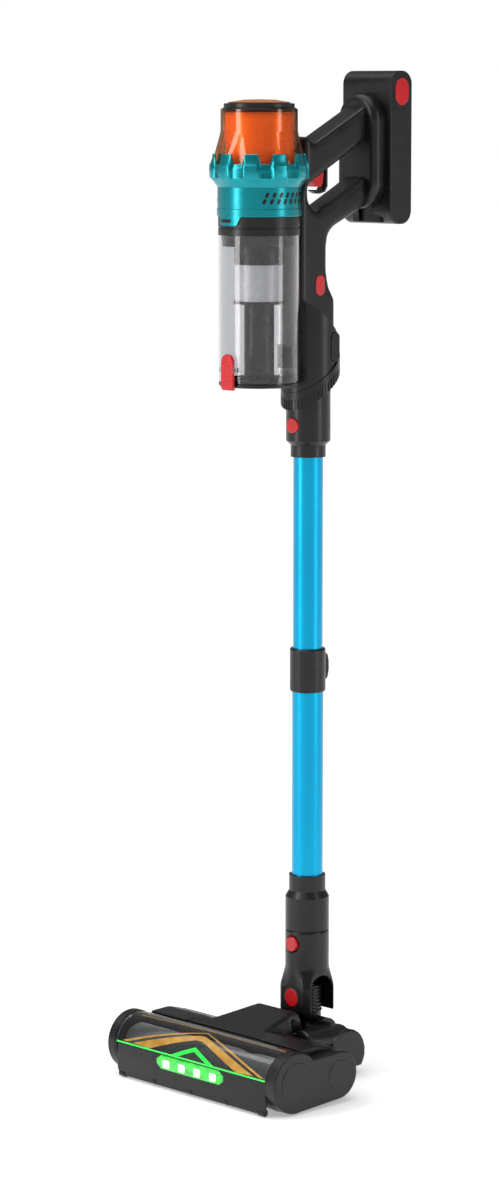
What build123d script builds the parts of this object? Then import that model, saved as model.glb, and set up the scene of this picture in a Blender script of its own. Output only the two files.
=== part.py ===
from build123d import *
import os
from math import atan2, cos, radians, sin

os.makedirs("parts", exist_ok=True)

# Cordless stick vacuum, millimetres. X is across the head, -Y is the front, +Z is up.
# The origin is on the floor under the middle of the bounding box; the wand stands at y = wand_y.

# ---- driving dimensions -------------------------------------------------------------------
reach_front = 184.5        # wand axis to the front of the floor head
reach_back = 125.5         # wand axis to the back of the battery
head_width = 270.0         # across the end caps
running_gap = 0.3          # between neighbours that move
seat_gap = 0.1             # between pieces that are fixed face to face
pin_gap = 0.05             # radial clearance of a pin or shaft in its hole
wall = 2.5                 # moulded plastic wall
tube_wall = 0.8            # aluminium wand wall
lower_tube_r = 17.5        # outer wand tube
foot_z = 162.0             # seam between the neck and the wand foot
foot_height = 38.0         # wand foot below its chamfer
lower_tube_shown = 210.0   # lower tube between its foot and the height collar
collar_height = 49.0       # height collar
upper_tube_shown = 216.0   # upper tube drawn out above the collar
height_travel = 190.0      # telescopic travel
adapter_height = 83.0      # wand adapter from its lower end to the middle of its slanted top
bin_r = 44.4               # outer radius of the dust bin
bin_height = 165.0         # clear bin wall with its flap
bin_back = 32.0            # wand axis to the back of the bin
battery_width = 75.0       # along the cells
battery_depth = 34.5
battery_height = 170.0
head_screw_r = 1.6

wand_y = (reach_front - reach_back) / 2
front_y = wand_y - reach_front


# ---- helpers ------------------------------------------------------------------------------
def disc(r_out, r_in, low, high, y=wand_y, x=0, mode=Mode.ADD):
    """Add or cut a round ring that stands on a vertical axis at (x, y)."""
    with BuildSketch(Plane((x, y, low))) as section:
        Circle(r_out)
        if r_in > 0:
            Circle(r_in, mode=Mode.SUBTRACT)
    extrude(section.sketch, amount=high - low, mode=mode)


def disc_x(r_out, r_in, low, high, y, z, mode=Mode.ADD):
    """Add or cut a round ring on an axis across the machine, from x = low to x = high."""
    with BuildSketch(Plane((low, y, z), x_dir=(0, 1, 0), z_dir=(1, 0, 0))) as section:
        Circle(r_out)
        if r_in > 0:
            Circle(r_in, mode=Mode.SUBTRACT)
    extrude(section.sketch, amount=high - low, mode=mode)


def disc_y(r_out, r_in, low, high, x, z, mode=Mode.ADD):
    """Add or cut a round ring on an axis that runs from front to back."""
    with BuildSketch(Plane((x, low, z), x_dir=(-1, 0, 0), z_dir=(0, 1, 0))) as section:
        Circle(r_out)
        if r_in > 0:
            Circle(r_in, mode=Mode.SUBTRACT)
    extrude(section.sketch, amount=high - low, mode=mode)


def block(x, y, z, mode=Mode.ADD):
    """Add or cut a block given by its (low, high) along X, Y and Z."""
    with Locations((sum(x) / 2, sum(y) / 2, sum(z) / 2)):
        Box(x[1] - x[0], y[1] - y[0], z[1] - z[0], mode=mode)


def turned(points, y=wand_y, mode=Mode.ADD):
    """Revolve a closed outline of (radius, height) points about the vertical axis at y."""
    with BuildSketch(Plane((0, y, 0), x_dir=(1, 0, 0), z_dir=(0, -1, 0))) as section:
        with BuildLine():
            Polyline(*points, close=True)
        make_face()
    revolve(section.sketch, axis=Axis((0, y, 0), (0, 0, 1)), mode=mode)


def side_slab(points, low, high, rounding=0, mode=Mode.ADD):
    """Extrude a side outline of (y from the wand axis, z) points from x = low to x = high."""
    with BuildSketch(Plane((low, wand_y, 0), x_dir=(0, 1, 0), z_dir=(1, 0, 0))) as section:
        with BuildLine():
            Polyline(*points, close=True)
        make_face()
        if rounding:
            fillet(section.vertices(), rounding)
    extrude(section.sketch, amount=high - low, mode=mode)


def write(builder, name):
    builder.part.label = name
    export_step(builder.part, f"parts/{name}.step")


# ---- floor head ---------------------------------------------------------------------------
cap_thick = 12.0                       # end caps
cap_front_r = 34.0                     # front round of an end cap, over the roller
cap_front_z = 36.0
cap_rear_r = 27.0                      # rear round of an end cap
cap_rear_z = 32.6
cap_rear_y = wand_y - 83.5
roller_y = front_y + cap_front_r       # middle of the roller chamber
cap_x = head_width / 2 - cap_thick     # inner face of an end cap
plate_x = cap_x - seat_gap             # outer face of the base's side plates
plate_thick = 3.0
bristle_r = 27.6
floor_clear = 1.0                      # brush to the floor
roller_z = floor_clear + bristle_r
core_r = 17.0
chamber_r = 31.2                       # inside of the roller chamber
window_r = 33.6                        # outside of the chamber wall and the window
shaft_r = 4.0
bearing_r = 8.0
bearing_width = 5.0
window_rear = 62.0                     # degrees above the horizontal, towards the back
window_front = 176.0                   # degrees, down to the bumper
bumper_top = 40.2
bumper_low = 3.0
bumper_thick = 3.4
sole_z = 5.0
sole_thick = 3.0
rear_y = wand_y - 58.0                 # back of the wide part of the head
screw_x = 54.0                         # cover screws
screw_y = wand_y - 68.0
screw_head_r = 3.0
screw_head = 1.6
caster_x = 95.0                        # small front rollers
caster_y = wand_y - 112.0
caster_r = 6.0
caster_pin_r = 1.5


def cap_outline(inset):
    """Side outline of the head: two rounds and the bridge between them, on a plane of local (y, z)."""
    with BuildSketch() as outline:
        with Locations((roller_y, cap_front_z)):
            Circle(cap_front_r - inset)
        with Locations((cap_rear_y, cap_rear_z)):
            Circle(cap_rear_r - inset)
        with BuildLine():
            Polyline((roller_y, cap_front_z - cap_front_r + inset), (cap_rear_y, cap_rear_z - cap_rear_r + inset),
                     (cap_rear_y - 8, cap_rear_z + cap_rear_r - 0.8 - inset),
                     (roller_y + 24, cap_rear_z + cap_rear_r - 1.4 - inset),
                     (roller_y, cap_front_z), close=True)
        make_face()
    return outline.sketch


def chamber_arc(r_in, r_out, first, last):
    """Ring sector about the chamber's centre, in degrees from the back, on a plane of local (y, z)."""
    with BuildSketch() as sector:
        with BuildLine():
            CenterArc((roller_y, cap_front_z), r_out, first, last - first)
            CenterArc((roller_y, cap_front_z), r_in, first, last - first)
            for angle in (first, last):
                way = (cos(radians(angle)), sin(radians(angle)))
                Line((roller_y + r_in * way[0], cap_front_z + r_in * way[1]),
                     (roller_y + r_out * way[0], cap_front_z + r_out * way[1]))
        make_face()
    return sector.sketch


def across(sketch, low, high, mode=Mode.ADD):
    """Extrude a sketch of local (y, z) from x = low to x = high."""
    plane = Plane((low, 0, 0), x_dir=(0, 1, 0), z_dir=(1, 0, 0))
    extrude(plane * sketch, amount=high - low, mode=mode)


motor_y = wand_y - 88.0                # brush motor and its pulley
motor_z = 31.0
motor_r = 16.5
motor_length = 60.0
roller_pulley_r = 12.6
motor_pulley_r = 5.6
belt_thick = 1.2
belt_width = 6.0
duct_r = 15.0                          # suction duct from the chamber to the neck hose
duct_z = 40.0
duct_wall = 1.6
duct_front_y = roller_y + window_r     # duct starts at the chamber's rear wall
duct_back_y = wand_y - 32.0

with BuildPart() as head_base:
    for side in (-1, 1):
        inner = side * (plate_x - plate_thick)
        outer = side * plate_x
        across(cap_outline(0.4), min(inner, outer), max(inner, outer))
    across(chamber_arc(chamber_r, window_r, -48, window_rear), -plate_x, plate_x)
    sole_front = roller_y + chamber_r * cos(radians(48))
    block((-plate_x, plate_x), (sole_front, rear_y), (sole_z, sole_z + sole_thick))
    block((-plate_x, plate_x), (sole_front, sole_front + 3), (sole_z, cap_front_z - chamber_r * sin(radians(48)) + 1))
    for side in (-1, 1):                # roller bearings and the motor shaft pass the side plates
        inner = side * (plate_x - plate_thick - 1)
        outer = side * (plate_x + 1)
        disc_x(bearing_r + pin_gap, 0, min(inner, outer), max(inner, outer), roller_y, roller_z, mode=Mode.SUBTRACT)
        disc_x(3.2, 0, min(inner, outer), max(inner, outer), motor_y, motor_z, mode=Mode.SUBTRACT)
    disc_y(duct_r + duct_wall + seat_gap, 0, duct_front_y - 9, duct_front_y + 1, 0, duct_z, mode=Mode.SUBTRACT)
    disc_x(bristle_r + 1.5, 0, plate_thick - plate_x, plate_x - plate_thick, roller_y, roller_z, mode=Mode.SUBTRACT)
    for side in (-1, 1):                # countersunk holes for the cover screws
        disc(head_screw_r + pin_gap, 0, sole_z - 1, sole_z + sole_thick + 1, y=screw_y, x=side * screw_x,
             mode=Mode.SUBTRACT)
        disc(screw_head_r + seat_gap, 0, sole_z - 1, sole_z + screw_head + seat_gap, y=screw_y, x=side * screw_x,
             mode=Mode.SUBTRACT)
    for side in (-1, 1):                # ears and slots for the two small front rollers
        block((side * caster_x - 10, side * caster_x + 10), (caster_y - 5, caster_y + 5), (sole_z - 0.6, sole_z + 6))
        block((side * caster_x - 4.6, side * caster_x + 4.6), (caster_y - caster_r - 1, caster_y + caster_r + 1),
              (0, sole_z + 8), mode=Mode.SUBTRACT)
        disc_x(caster_pin_r, 0, side * caster_x - 9, side * caster_x + 9, caster_y, caster_r, mode=Mode.SUBTRACT)
write(head_base, "head_base")

with BuildPart() as suction_duct:       # carries the dirt from the chamber back to the neck hose
    disc_y(duct_r + duct_wall, duct_r, duct_front_y - 1.5, duct_back_y, 0, duct_z)
    disc_y(duct_r + 3.5, duct_r, duct_front_y + 0.4, duct_front_y + 2.4, 0, duct_z)
    for side in (-1, 1):                # feet down to the sole
        block((side * 9 - 2, side * 9 + 2), (duct_front_y + 12, duct_front_y + 30),
              (sole_z + sole_thick + seat_gap, duct_z - duct_r))
write(suction_duct, "suction_duct")

# Front bumper: an upright bar with a rolled lower lip, notched for the light bar.
light_half = 54.0
light_low = 22.9
light_high = 39.4
with BuildPart() as front_bumper:
    block((-plate_x + plate_thick + 0.1, plate_x - plate_thick - 0.1),
          (front_y, front_y + bumper_thick), (bumper_low, bumper_top))
    fillet(front_bumper.edges().filter_by(Axis.X).sort_by(Axis.Y)[:2], 1.4)
    block((-light_half, light_half), (front_y - 1, front_y + 2.2), (light_low, light_high + 1), mode=Mode.SUBTRACT)
write(front_bumper, "front_bumper")

with BuildPart() as light_lens:         # long hexagonal lens, slightly proud of the bumper
    with BuildSketch(Plane((0, front_y + 2.1, 0), x_dir=(1, 0, 0), z_dir=(0, -1, 0))):
        with BuildLine():
            Polyline((-light_half + 0.2, 31), (-light_half + 7, light_high), (light_half - 7, light_high),
                     (light_half - 0.2, 31), (light_half - 7, light_low + 0.1),
                     (-light_half + 7, light_low + 0.1), close=True)
        make_face()
    extrude(amount=2.1)
write(light_lens, "light_lens")

with BuildPart() as front_window:       # clear curved cover over the roller
    across(chamber_arc(chamber_r, window_r, window_rear + 0.3, window_front - 4.5), -plate_x + plate_thick + 0.1,
           plate_x - plate_thick - 0.1)
write(front_window, "front_window")

for side, name in ((-1, "end_cap_left"), (1, "end_cap_right")):
    with BuildPart() as end_cap:
        across(cap_outline(0), min(side * cap_x, side * (cap_x + cap_thick)), max(side * cap_x, side * (cap_x + cap_thick)))
        outer_face = end_cap.faces().filter_by(Axis.X).sort_by(Axis.X)[-1 if side > 0 else 0]
        fillet(outer_face.edges(), 2.0)
        hollow = (side * (cap_x - 1), side * (cap_x + cap_thick - wall))
        across(cap_outline(wall), min(hollow), max(hollow), mode=Mode.SUBTRACT)
    write(end_cap, name)

roller_end = plate_x - bearing_width - 0.5
with BuildPart() as roller_core:        # moulded core on a steel shaft, with its pulley at the left end
    disc_x(core_r, 0, -roller_end, roller_end, roller_y, roller_z)
    disc_x(shaft_r, 0, -cap_x - 9.2, plate_x, roller_y, roller_z)
    disc_x(roller_pulley_r, 0, -cap_x - 9.0, -cap_x - 1.0, roller_y, roller_z)
write(roller_core, "roller_core")

with BuildPart() as roller_bristles:    # pile sleeve with two helical bristle rows as a plain cylinder
    disc_x(bristle_r, core_r + 0.05, -roller_end, roller_end, roller_y, roller_z)
write(roller_bristles, "roller_bristles")

motor_right = -plate_x + plate_thick + 0.4 + motor_length
with BuildPart() as brush_motor:
    disc_x(motor_r, 0, motor_right - motor_length, motor_right, motor_y, motor_z)
    disc_x(3.0, 1.55, -plate_x - 0.2, motor_right - motor_length, motor_y, motor_z)
    disc_x(1.55, 0, motor_right - motor_length - 0.6, motor_right - motor_length, motor_y, motor_z, mode=Mode.SUBTRACT)
    for low in (motor_right - motor_length + 6, motor_right - 14):   # two saddles on the sole
        block((low, low + 8), (motor_y - 12, motor_y + 12), (sole_z + sole_thick + seat_gap, motor_z - 8))
write(brush_motor, "brush_motor")

with BuildPart() as motor_pulley:
    disc_x(motor_pulley_r, 0, -cap_x - 9.0, -cap_x - 1.0, motor_y, motor_z)
    disc_x(1.5, 0, -cap_x - 1.0, motor_right - motor_length - 0.1, motor_y, motor_z)
write(motor_pulley, "motor_pulley")


def belt_outline(extra):
    """Hull of the two pulleys, grown by extra, on a plane of local (y, z)."""
    with BuildSketch() as loop:
        with Locations((roller_y, roller_z)):
            Circle(roller_pulley_r + extra)
        with Locations((motor_y, motor_z)):
            Circle(motor_pulley_r + extra)
        make_hull()
    return loop.sketch


with BuildPart() as drive_belt:
    belt_low = -cap_x - 5 - belt_width / 2
    across(belt_outline(0.15 + belt_thick), belt_low, belt_low + belt_width)
    across(belt_outline(0.15), belt_low, belt_low + belt_width, mode=Mode.SUBTRACT)
write(drive_belt, "drive_belt")

# Rear cover: a shell over the motor bay, with a raised wedge in the middle that leads to the neck.
wheel_r = 23.0
wheel_y = wand_y + 2.0
wheel_width = 13.0
arm_in = 31.0                           # hinge arms, each side of the neck knuckle
arm_thick = 15.0
pivot_z = 44.0                          # axis on which the neck leans back
wheel_x = arm_in + arm_thick + running_gap
bracket_half = arm_in + arm_thick
wedge_front = -126.0                    # from the wand axis
wedge_back = -36.0

with BuildPart() as head_cover:
    side_slab([(-133.6, 67.6), (-106, 68.4), (-78, 60.5), (-58.3, 44), (-58.3, 8.2), (-58.3 - wall, 8.2),
               (-58.3 - wall, 42.8), (-79.6, 58.2), (-106.4, 65.9), (-132.0, 65.6)], -plate_x + plate_thick + 0.1,
              plate_x - plate_thick - 0.1)
    with BuildSketch(Plane.XY.offset(52)) as plan:
        with BuildLine():
            Polyline((50, wand_y + wedge_front), (33, wand_y + wedge_back), (-33, wand_y + wedge_back),
                     (-50, wand_y + wedge_front), close=True)
        make_face()
    extrude(plan.sketch, amount=40, taper=14)
    side_slab([(-200, 100), (-200, 57), (-126, 66.5), (-50, 78.5), (wedge_back, 73), (0, 73), (0, 100)], -60, 60,
              mode=Mode.SUBTRACT)
    side_slab([(wedge_front + 5, 50), (wedge_front + 5, 64.5), (-50, 76), (wedge_back - wall, 71),
               (wedge_back - wall, 50)], -27, 27, mode=Mode.SUBTRACT)
    disc_x(window_r + seat_gap, 0, -plate_x, plate_x, roller_y, cap_front_z, mode=Mode.SUBTRACT)
    block((-bracket_half - running_gap, bracket_half + running_gap), (rear_y - 9, rear_y + 9), (0, 50),
          mode=Mode.SUBTRACT)           # doorway for the hinge bracket and the duct
    disc_y(duct_r + 4.0, 0, duct_front_y, rear_y + 40, 0, duct_z, mode=Mode.SUBTRACT)
    for side in (-1, 1):                # the pods and the hinge arms stand here
        beside = (side * (arm_in - 0.7), side * 70)
        block((min(beside), max(beside)), (rear_y - 0.2, rear_y + 40), (0, 70), mode=Mode.SUBTRACT)
    for side in (-1, 1):                # screw bosses down to the sole
        disc(3.6, 0, sole_z + sole_thick + seat_gap, 52, y=screw_y, x=side * screw_x)
        disc(head_screw_r + pin_gap, 0, sole_z, 24, y=screw_y, x=side * screw_x, mode=Mode.SUBTRACT)
write(head_cover, "head_cover")

with BuildPart() as head_screws:
    for side in (-1, 1):
        disc(head_screw_r, 0, sole_z + screw_head, 22, y=screw_y, x=side * screw_x)
        disc(screw_head_r, 0, sole_z, sole_z + screw_head, y=screw_y, x=side * screw_x)
write(head_screws, "head_screws")

# ---- hinge bracket, wheels and pods at the back of the head ----------------------------------
arm_out = arm_in + arm_thick
arm_pivot_r = 14.0
pin_r = 5.0                             # pitch pins
axle_r = 3.0
floor_low = sole_z + sole_thick + seat_gap
with BuildPart() as hinge_bracket:
    block((-bracket_half, bracket_half), (rear_y - 7, rear_y + 26), (floor_low, floor_low + 4))
    for side in (-1, 1):
        low = min(side * arm_in, side * arm_out)
        side_slab([(-57.9, floor_low), (-57.9, 46), (-30, 57.5), (0, pivot_z + arm_pivot_r), (2, wheel_r - 9),
                   (-20, floor_low)], low, low + arm_thick)
        disc_x(arm_pivot_r, 0, low, low + arm_thick, wand_y, pivot_z)
        disc_x(9.0, 0, low, low + arm_thick, wheel_y, wheel_r)
        disc_x(pin_r + pin_gap, 0, low - 1, low + arm_thick + 1, wand_y, pivot_z, mode=Mode.SUBTRACT)
        disc_x(axle_r + pin_gap, 0, low - 1, low + arm_thick + 1, wheel_y, wheel_r, mode=Mode.SUBTRACT)
write(hinge_bracket, "hinge_bracket")

drum_half = arm_in - 0.6                # knuckle drum between the arms
for side, name in ((-1, "left"), (1, "right")):
    ends = (side * wheel_x, side * (wheel_x + wheel_width))
    with BuildPart() as rear_wheel:     # moulded wheel with a dished outer face
        disc_x(wheel_r, axle_r + pin_gap, min(ends), max(ends), wheel_y, wheel_r)
        fillet(rear_wheel.edges().filter_by(GeomType.CIRCLE).group_by(SortBy.RADIUS)[-1], 1.6)
        dish = (side * (wheel_x + wheel_width - 2), side * (wheel_x + wheel_width + 1))
        disc_x(wheel_r - 6.4, 6.5, min(dish), max(dish), wheel_y, wheel_r, mode=Mode.SUBTRACT)
    write(rear_wheel, f"rear_wheel_{name}")
    with BuildPart() as front_roller:
        disc_x(caster_r, caster_pin_r + pin_gap, side * caster_x - 4, side * caster_x + 4, caster_y, caster_r)
        fillet(front_roller.edges().filter_by(GeomType.CIRCLE).group_by(SortBy.RADIUS)[-1], 1.0)
    write(front_roller, f"front_roller_{name}")

for side, name in ((-1, "left"), (1, "right")):
    with BuildPart() as pod:            # fender over an arm and its wheel
        low = side * (arm_in - 0.4)
        high = side * (wheel_x + wheel_width + 2.0)
        block((min(low, high), max(low, high)), (rear_y + 1.2, wand_y + 19), (49, 63))
        fillet(pod.edges().filter_by(Axis.Z), 9)
        fillet(pod.faces().sort_by(Axis.Z)[-1].edges(), 6)
        under = (side * (arm_in - 1), side * (arm_out + 0.1))
        side_slab([(-57.9, 40), (-57.9, 46.1), (-30, 57.6), (0, pivot_z + arm_pivot_r + 0.1),
                   (arm_pivot_r, pivot_z + arm_pivot_r + 0.1), (arm_pivot_r + 1, 40)], min(under), max(under),
                  mode=Mode.SUBTRACT)
        over_wheel = (side * (wheel_x - 0.5), side * (wheel_x + 30))
        disc_x(wheel_r + 1.5, 0, min(over_wheel), max(over_wheel), wheel_y, wheel_r, mode=Mode.SUBTRACT)
    write(pod, f"pod_{name}")

with BuildPart() as axles:
    for side in (-1, 1):
        race = (side * (plate_x - bearing_width), side * plate_x)         # bearing of the brush roller
        disc_x(bearing_r, shaft_r + pin_gap, min(race), max(race), roller_y, roller_z)
        ends = (side * (arm_in + 1), side * (wheel_x + wheel_width + 0.8))
        disc_x(axle_r, 0, min(ends), max(ends), wheel_y, wheel_r)
        disc_x(caster_pin_r, 0, side * caster_x - 8.8, side * caster_x + 8.8, caster_y, caster_r)
        pin = (side * (drum_half - 3.4), side * (arm_out - 0.5))          # pitch pin of the neck
        disc_x(pin_r, 0, min(pin), max(pin), wand_y, pivot_z)
write(axles, "axles_and_bearings")

# ---- neck ---------------------------------------------------------------------------------
swivel_z = 85.0                         # axis on which the neck leans to the sides
neck_r = 24.9
yoke_half = 25.0                        # square foot of the neck
yoke_low = 67.8
arm_gap = 17.0                          # inner faces of the yoke's front and back arms
yoke_shoulder = 97.0
flare_top = 118.0
socket_low = 124.0                      # seat of the wand foot
plug_r = 20.5
air_r = 14.5                            # clear air path through the neck and the wand foot
hose_r = 12.6
swivel_pin_r = 4.5
knuckle_r = 16.2
drum_r = 18.5

with BuildPart() as elbow:              # knuckle: a drum across the head with a hollow stem
    disc_x(drum_r, 0, -drum_half, drum_half, wand_y, pivot_z)
    disc(knuckle_r, 0, pivot_z, 97)
    disc_y(8.0, 0, wand_y - arm_gap + running_gap, wand_y + arm_gap - running_gap, 0, swivel_z)
    disc_x(drum_r - 2.5, 0, -drum_half + 3, drum_half - 3, wand_y, pivot_z, mode=Mode.SUBTRACT)
    disc(hose_r + 1.2, 0, pivot_z, 98, mode=Mode.SUBTRACT)
    block((-hose_r - 1.4, hose_r + 1.4), (wand_y - 22, wand_y - 6), (26, 62), mode=Mode.SUBTRACT)
    disc_x(pin_r + pin_gap, 0, -drum_half - 1, drum_half + 1, wand_y, pivot_z, mode=Mode.SUBTRACT)
    disc_y(swivel_pin_r + pin_gap, 0, wand_y - 18, wand_y + 18, 0, swivel_z, mode=Mode.SUBTRACT)
write(elbow, "elbow")

bend_r = 18.0
with BuildPart() as neck_hose:          # plain tube on the corrugated hose's line
    with BuildLine(Plane((0, wand_y, 0), x_dir=(0, 1, 0), z_dir=(1, 0, 0))) as hose_line:
        run_in = Line((-31.8, duct_z), (-bend_r, duct_z))
        JernArc(run_in @ 1, run_in % 1, bend_r, 90)
        Line((0, duct_z + bend_r), (0, socket_low - 8))
    with BuildSketch(Plane((0, wand_y - 31.8, duct_z), x_dir=(-1, 0, 0), z_dir=(0, 1, 0))):
        Circle(hose_r)
        Circle(hose_r - 1.0, mode=Mode.SUBTRACT)
    sweep()
write(neck_hose, "neck_hose")

with BuildPart() as neck_yoke:
    with BuildSketch(Plane.XY.offset(yoke_low)) as foot:
        with Locations((0, wand_y)):
            Rectangle(2 * yoke_half, 2 * yoke_half)
        chamfer(foot.vertices(), 7)
    extrude(foot.sketch, amount=yoke_shoulder - yoke_low)
    with BuildSketch(Plane.XY.offset(yoke_shoulder)) as shoulder:
        with Locations((0, wand_y)):
            Rectangle(2 * yoke_half, 2 * yoke_half)
        chamfer(shoulder.vertices(), 7)
    with BuildSketch(Plane.XY.offset(flare_top)) as throat:
        with Locations((0, wand_y)):
            Circle(neck_r)
    loft([shoulder.sketch.face(), throat.sketch.face()])
    disc(neck_r, 0, flare_top - 0.01, foot_z)
    disc(plug_r + running_gap, 0, socket_low, foot_z + 1, mode=Mode.SUBTRACT)
    disc(hose_r + 0.3, 0, yoke_low, socket_low + 1, mode=Mode.SUBTRACT)
    block((-40, 40), (wand_y - arm_gap, wand_y + arm_gap), (yoke_low - 1, 93), mode=Mode.SUBTRACT)
    disc_x(arm_gap, 0, -40, 40, wand_y, 93, mode=Mode.SUBTRACT)
    disc_y(swivel_pin_r, 0, wand_y - 26, wand_y + 26, 0, swivel_z, mode=Mode.SUBTRACT)
    disc_y(10.3, 0, wand_y - 26, wand_y - 23.4, 0, swivel_z, mode=Mode.SUBTRACT)
    disc_y(8.9, 0, wand_y - 30, wand_y - 15, 0, foot_z - 15, mode=Mode.SUBTRACT)
write(neck_yoke, "neck_yoke")

with BuildPart() as swivel_pins:        # pressed into the yoke, they turn in the knuckle
    disc_y(10.2, 0, wand_y - 25.6, wand_y - 23.4, 0, swivel_z)            # round head of the front pin
    fillet(swivel_pins.faces().sort_by(Axis.Y)[0].edges(), 0.6)
    for side in (-1, 1):
        ends = (wand_y + side * (hose_r + 1.4), wand_y + side * 24.8)
        disc_y(swivel_pin_r, 0, min(ends), max(ends), 0, swivel_z)
write(swivel_pins, "swivel_pins")

button_r = 8.6
with BuildPart() as neck_button:
    disc_y(button_r, 0, wand_y - 26.2, wand_y - 22.3, 0, foot_z - 15)
    fillet(neck_button.faces().sort_by(Axis.Y)[0].edges(), 1.2)
write(neck_button, "neck_button")

# ---- wand ---------------------------------------------------------------------------------
upper_tube_r = lower_tube_r - tube_wall - 0.1
foot_chamfer_top = foot_z + foot_height + 7
foot_top = foot_chamfer_top + 18
collar_low = foot_top + lower_tube_shown
collar_top = collar_low + collar_height
adapter_low = collar_top + upper_tube_shown
unit_z = adapter_low + adapter_height   # middle of the slanted seam of the hand unit
foot_r = 24.8
sleeve_r = 20.7
with BuildPart() as wand_foot:
    turned([(air_r, socket_low + running_gap), (plug_r, socket_low + running_gap), (plug_r, foot_z - 25),
            (plug_r - 2.4, foot_z - 25), (plug_r - 2.4, foot_z - 5), (plug_r, foot_z - 5), (plug_r, foot_z + 0.2),
            (foot_r, foot_z + 0.2), (foot_r, foot_z + foot_height), (sleeve_r, foot_chamfer_top),
            (sleeve_r, foot_top), (lower_tube_r + pin_gap, foot_top), (lower_tube_r + pin_gap, foot_z + 8),
            (air_r, foot_z + 8)])
write(wand_foot, "wand_foot")

lower_tube_top = collar_low + 20
with BuildPart() as lower_tube:
    disc(lower_tube_r, lower_tube_r - tube_wall, foot_z + 8.05, lower_tube_top)
write(lower_tube, "lower_tube")

collar_r = 20.1
clip_low = collar_low + 11
clip_high = clip_low + 32
with BuildPart() as height_collar:
    turned([(lower_tube_r + pin_gap, collar_low), (collar_r - 1, collar_low), (collar_r, collar_low + 1.5),
            (collar_r, collar_top - 1.5), (collar_r - 1, collar_top), (upper_tube_r + 0.1, collar_top),
            (upper_tube_r + 0.1, lower_tube_top + 0.05), (lower_tube_r + pin_gap, lower_tube_top + 0.05)])
    block((-8.4, 8.4), (wand_y + 17.9, wand_y + 30), (clip_low - 0.4, clip_high + 0.4), mode=Mode.SUBTRACT)
write(height_collar, "height_collar")

with BuildPart() as height_button:
    side_slab([(19.6, clip_low), (23.6, clip_low + 3), (25.6, clip_low + 11), (25.6, clip_high - 11),
               (23.6, clip_high - 3), (19.6, clip_high)], -8, 8)
    fillet(height_button.edges().filter_by(Axis.X).sort_by(Axis.Y)[-4:], 1.5)
write(height_button, "height_button")

upper_tube_low = collar_low - 40
tube_seat_top = adapter_low + 30
with BuildPart() as upper_tube:
    disc(upper_tube_r, upper_tube_r - tube_wall, upper_tube_low, tube_seat_top)
write(upper_tube, "upper_tube")

slant = 36.0                            # slanted seam between the adapter and the hand unit
seam_centre = (0, wand_y + 3, unit_z)
seam_normal = (0, -sin(radians(slant)), cos(radians(slant)))
teeth_low = -5.0                        # toothed ring, measured square to the seam
teeth_high = 4.0
nozzle_r = 18.3
nozzle_low = tube_seat_top + 3
button2_z = adapter_low + 36
with BuildPart() as wand_adapter:
    turned([(upper_tube_r + 0.05, adapter_low), (19.6, adapter_low), (19.6, adapter_low + 13),
            (foot_r, adapter_low + 18), (foot_r, unit_z + 60), (nozzle_r + running_gap, unit_z + 60),
            (nozzle_r + running_gap, tube_seat_top + 1.5), (upper_tube_r - tube_wall, tube_seat_top + 1.5),
            (upper_tube_r - tube_wall, tube_seat_top + 0.05), (upper_tube_r + 0.05, tube_seat_top + 0.05)])
    split(bisect_by=Plane(seam_centre, z_dir=seam_normal).offset(teeth_low - running_gap), keep=Keep.BOTTOM)
    disc_y(button_r + running_gap, 0, wand_y - 30, wand_y - 15, 0, button2_z, mode=Mode.SUBTRACT)
write(wand_adapter, "wand_adapter")

with BuildPart() as adapter_button:
    disc_y(button_r, 0, wand_y - 26.2, wand_y - 22.3, 0, button2_z)
    fillet(adapter_button.faces().sort_by(Axis.Y)[0].edges(), 1.2)
write(adapter_button, "adapter_button")

# ---- hand unit: inlet barrel ----------------------------------------------------------------
barrel_r = 31.5
barrel_y = wand_y + 2
flange_r = 33.0
inlet_r = 15.5                          # air path up through the nozzle
inlet_half = 9.0                        # side port into the bin
inlet_low = unit_z + 20
inlet_high = unit_z + 40
barrel_back = (22.0, 52.0)              # slanted top of the barrel: (y from the wand, z from unit_z)
barrel_front = (-28.0, 95.0)
top_tilt = atan2(barrel_front[1] - barrel_back[1], barrel_back[0] - barrel_front[0])
barrel_top = Plane((0, wand_y + barrel_back[0], unit_z + barrel_back[1]), z_dir=(0, sin(top_tilt), cos(top_tilt)))
seam = Plane(seam_centre, z_dir=seam_normal)
bin_y = wand_y - bin_back - bin_r
housing_r = bin_r + 1.1                 # motor housing, carried by a pad on the frame's front edge
side_button_y = wand_y + 10.5
side_button_z = unit_z + 40


def oblong_x(y, z, width, height, low, high, mode=Mode.ADD):
    """Upright oblong with full round ends, from x = low to x = high."""
    with BuildSketch(Plane((low, y, z), x_dir=(0, 1, 0), z_dir=(1, 0, 0))) as outline:
        SlotOverall(height, width, rotation=90)
    extrude(outline.sketch, amount=high - low, mode=mode)


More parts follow.
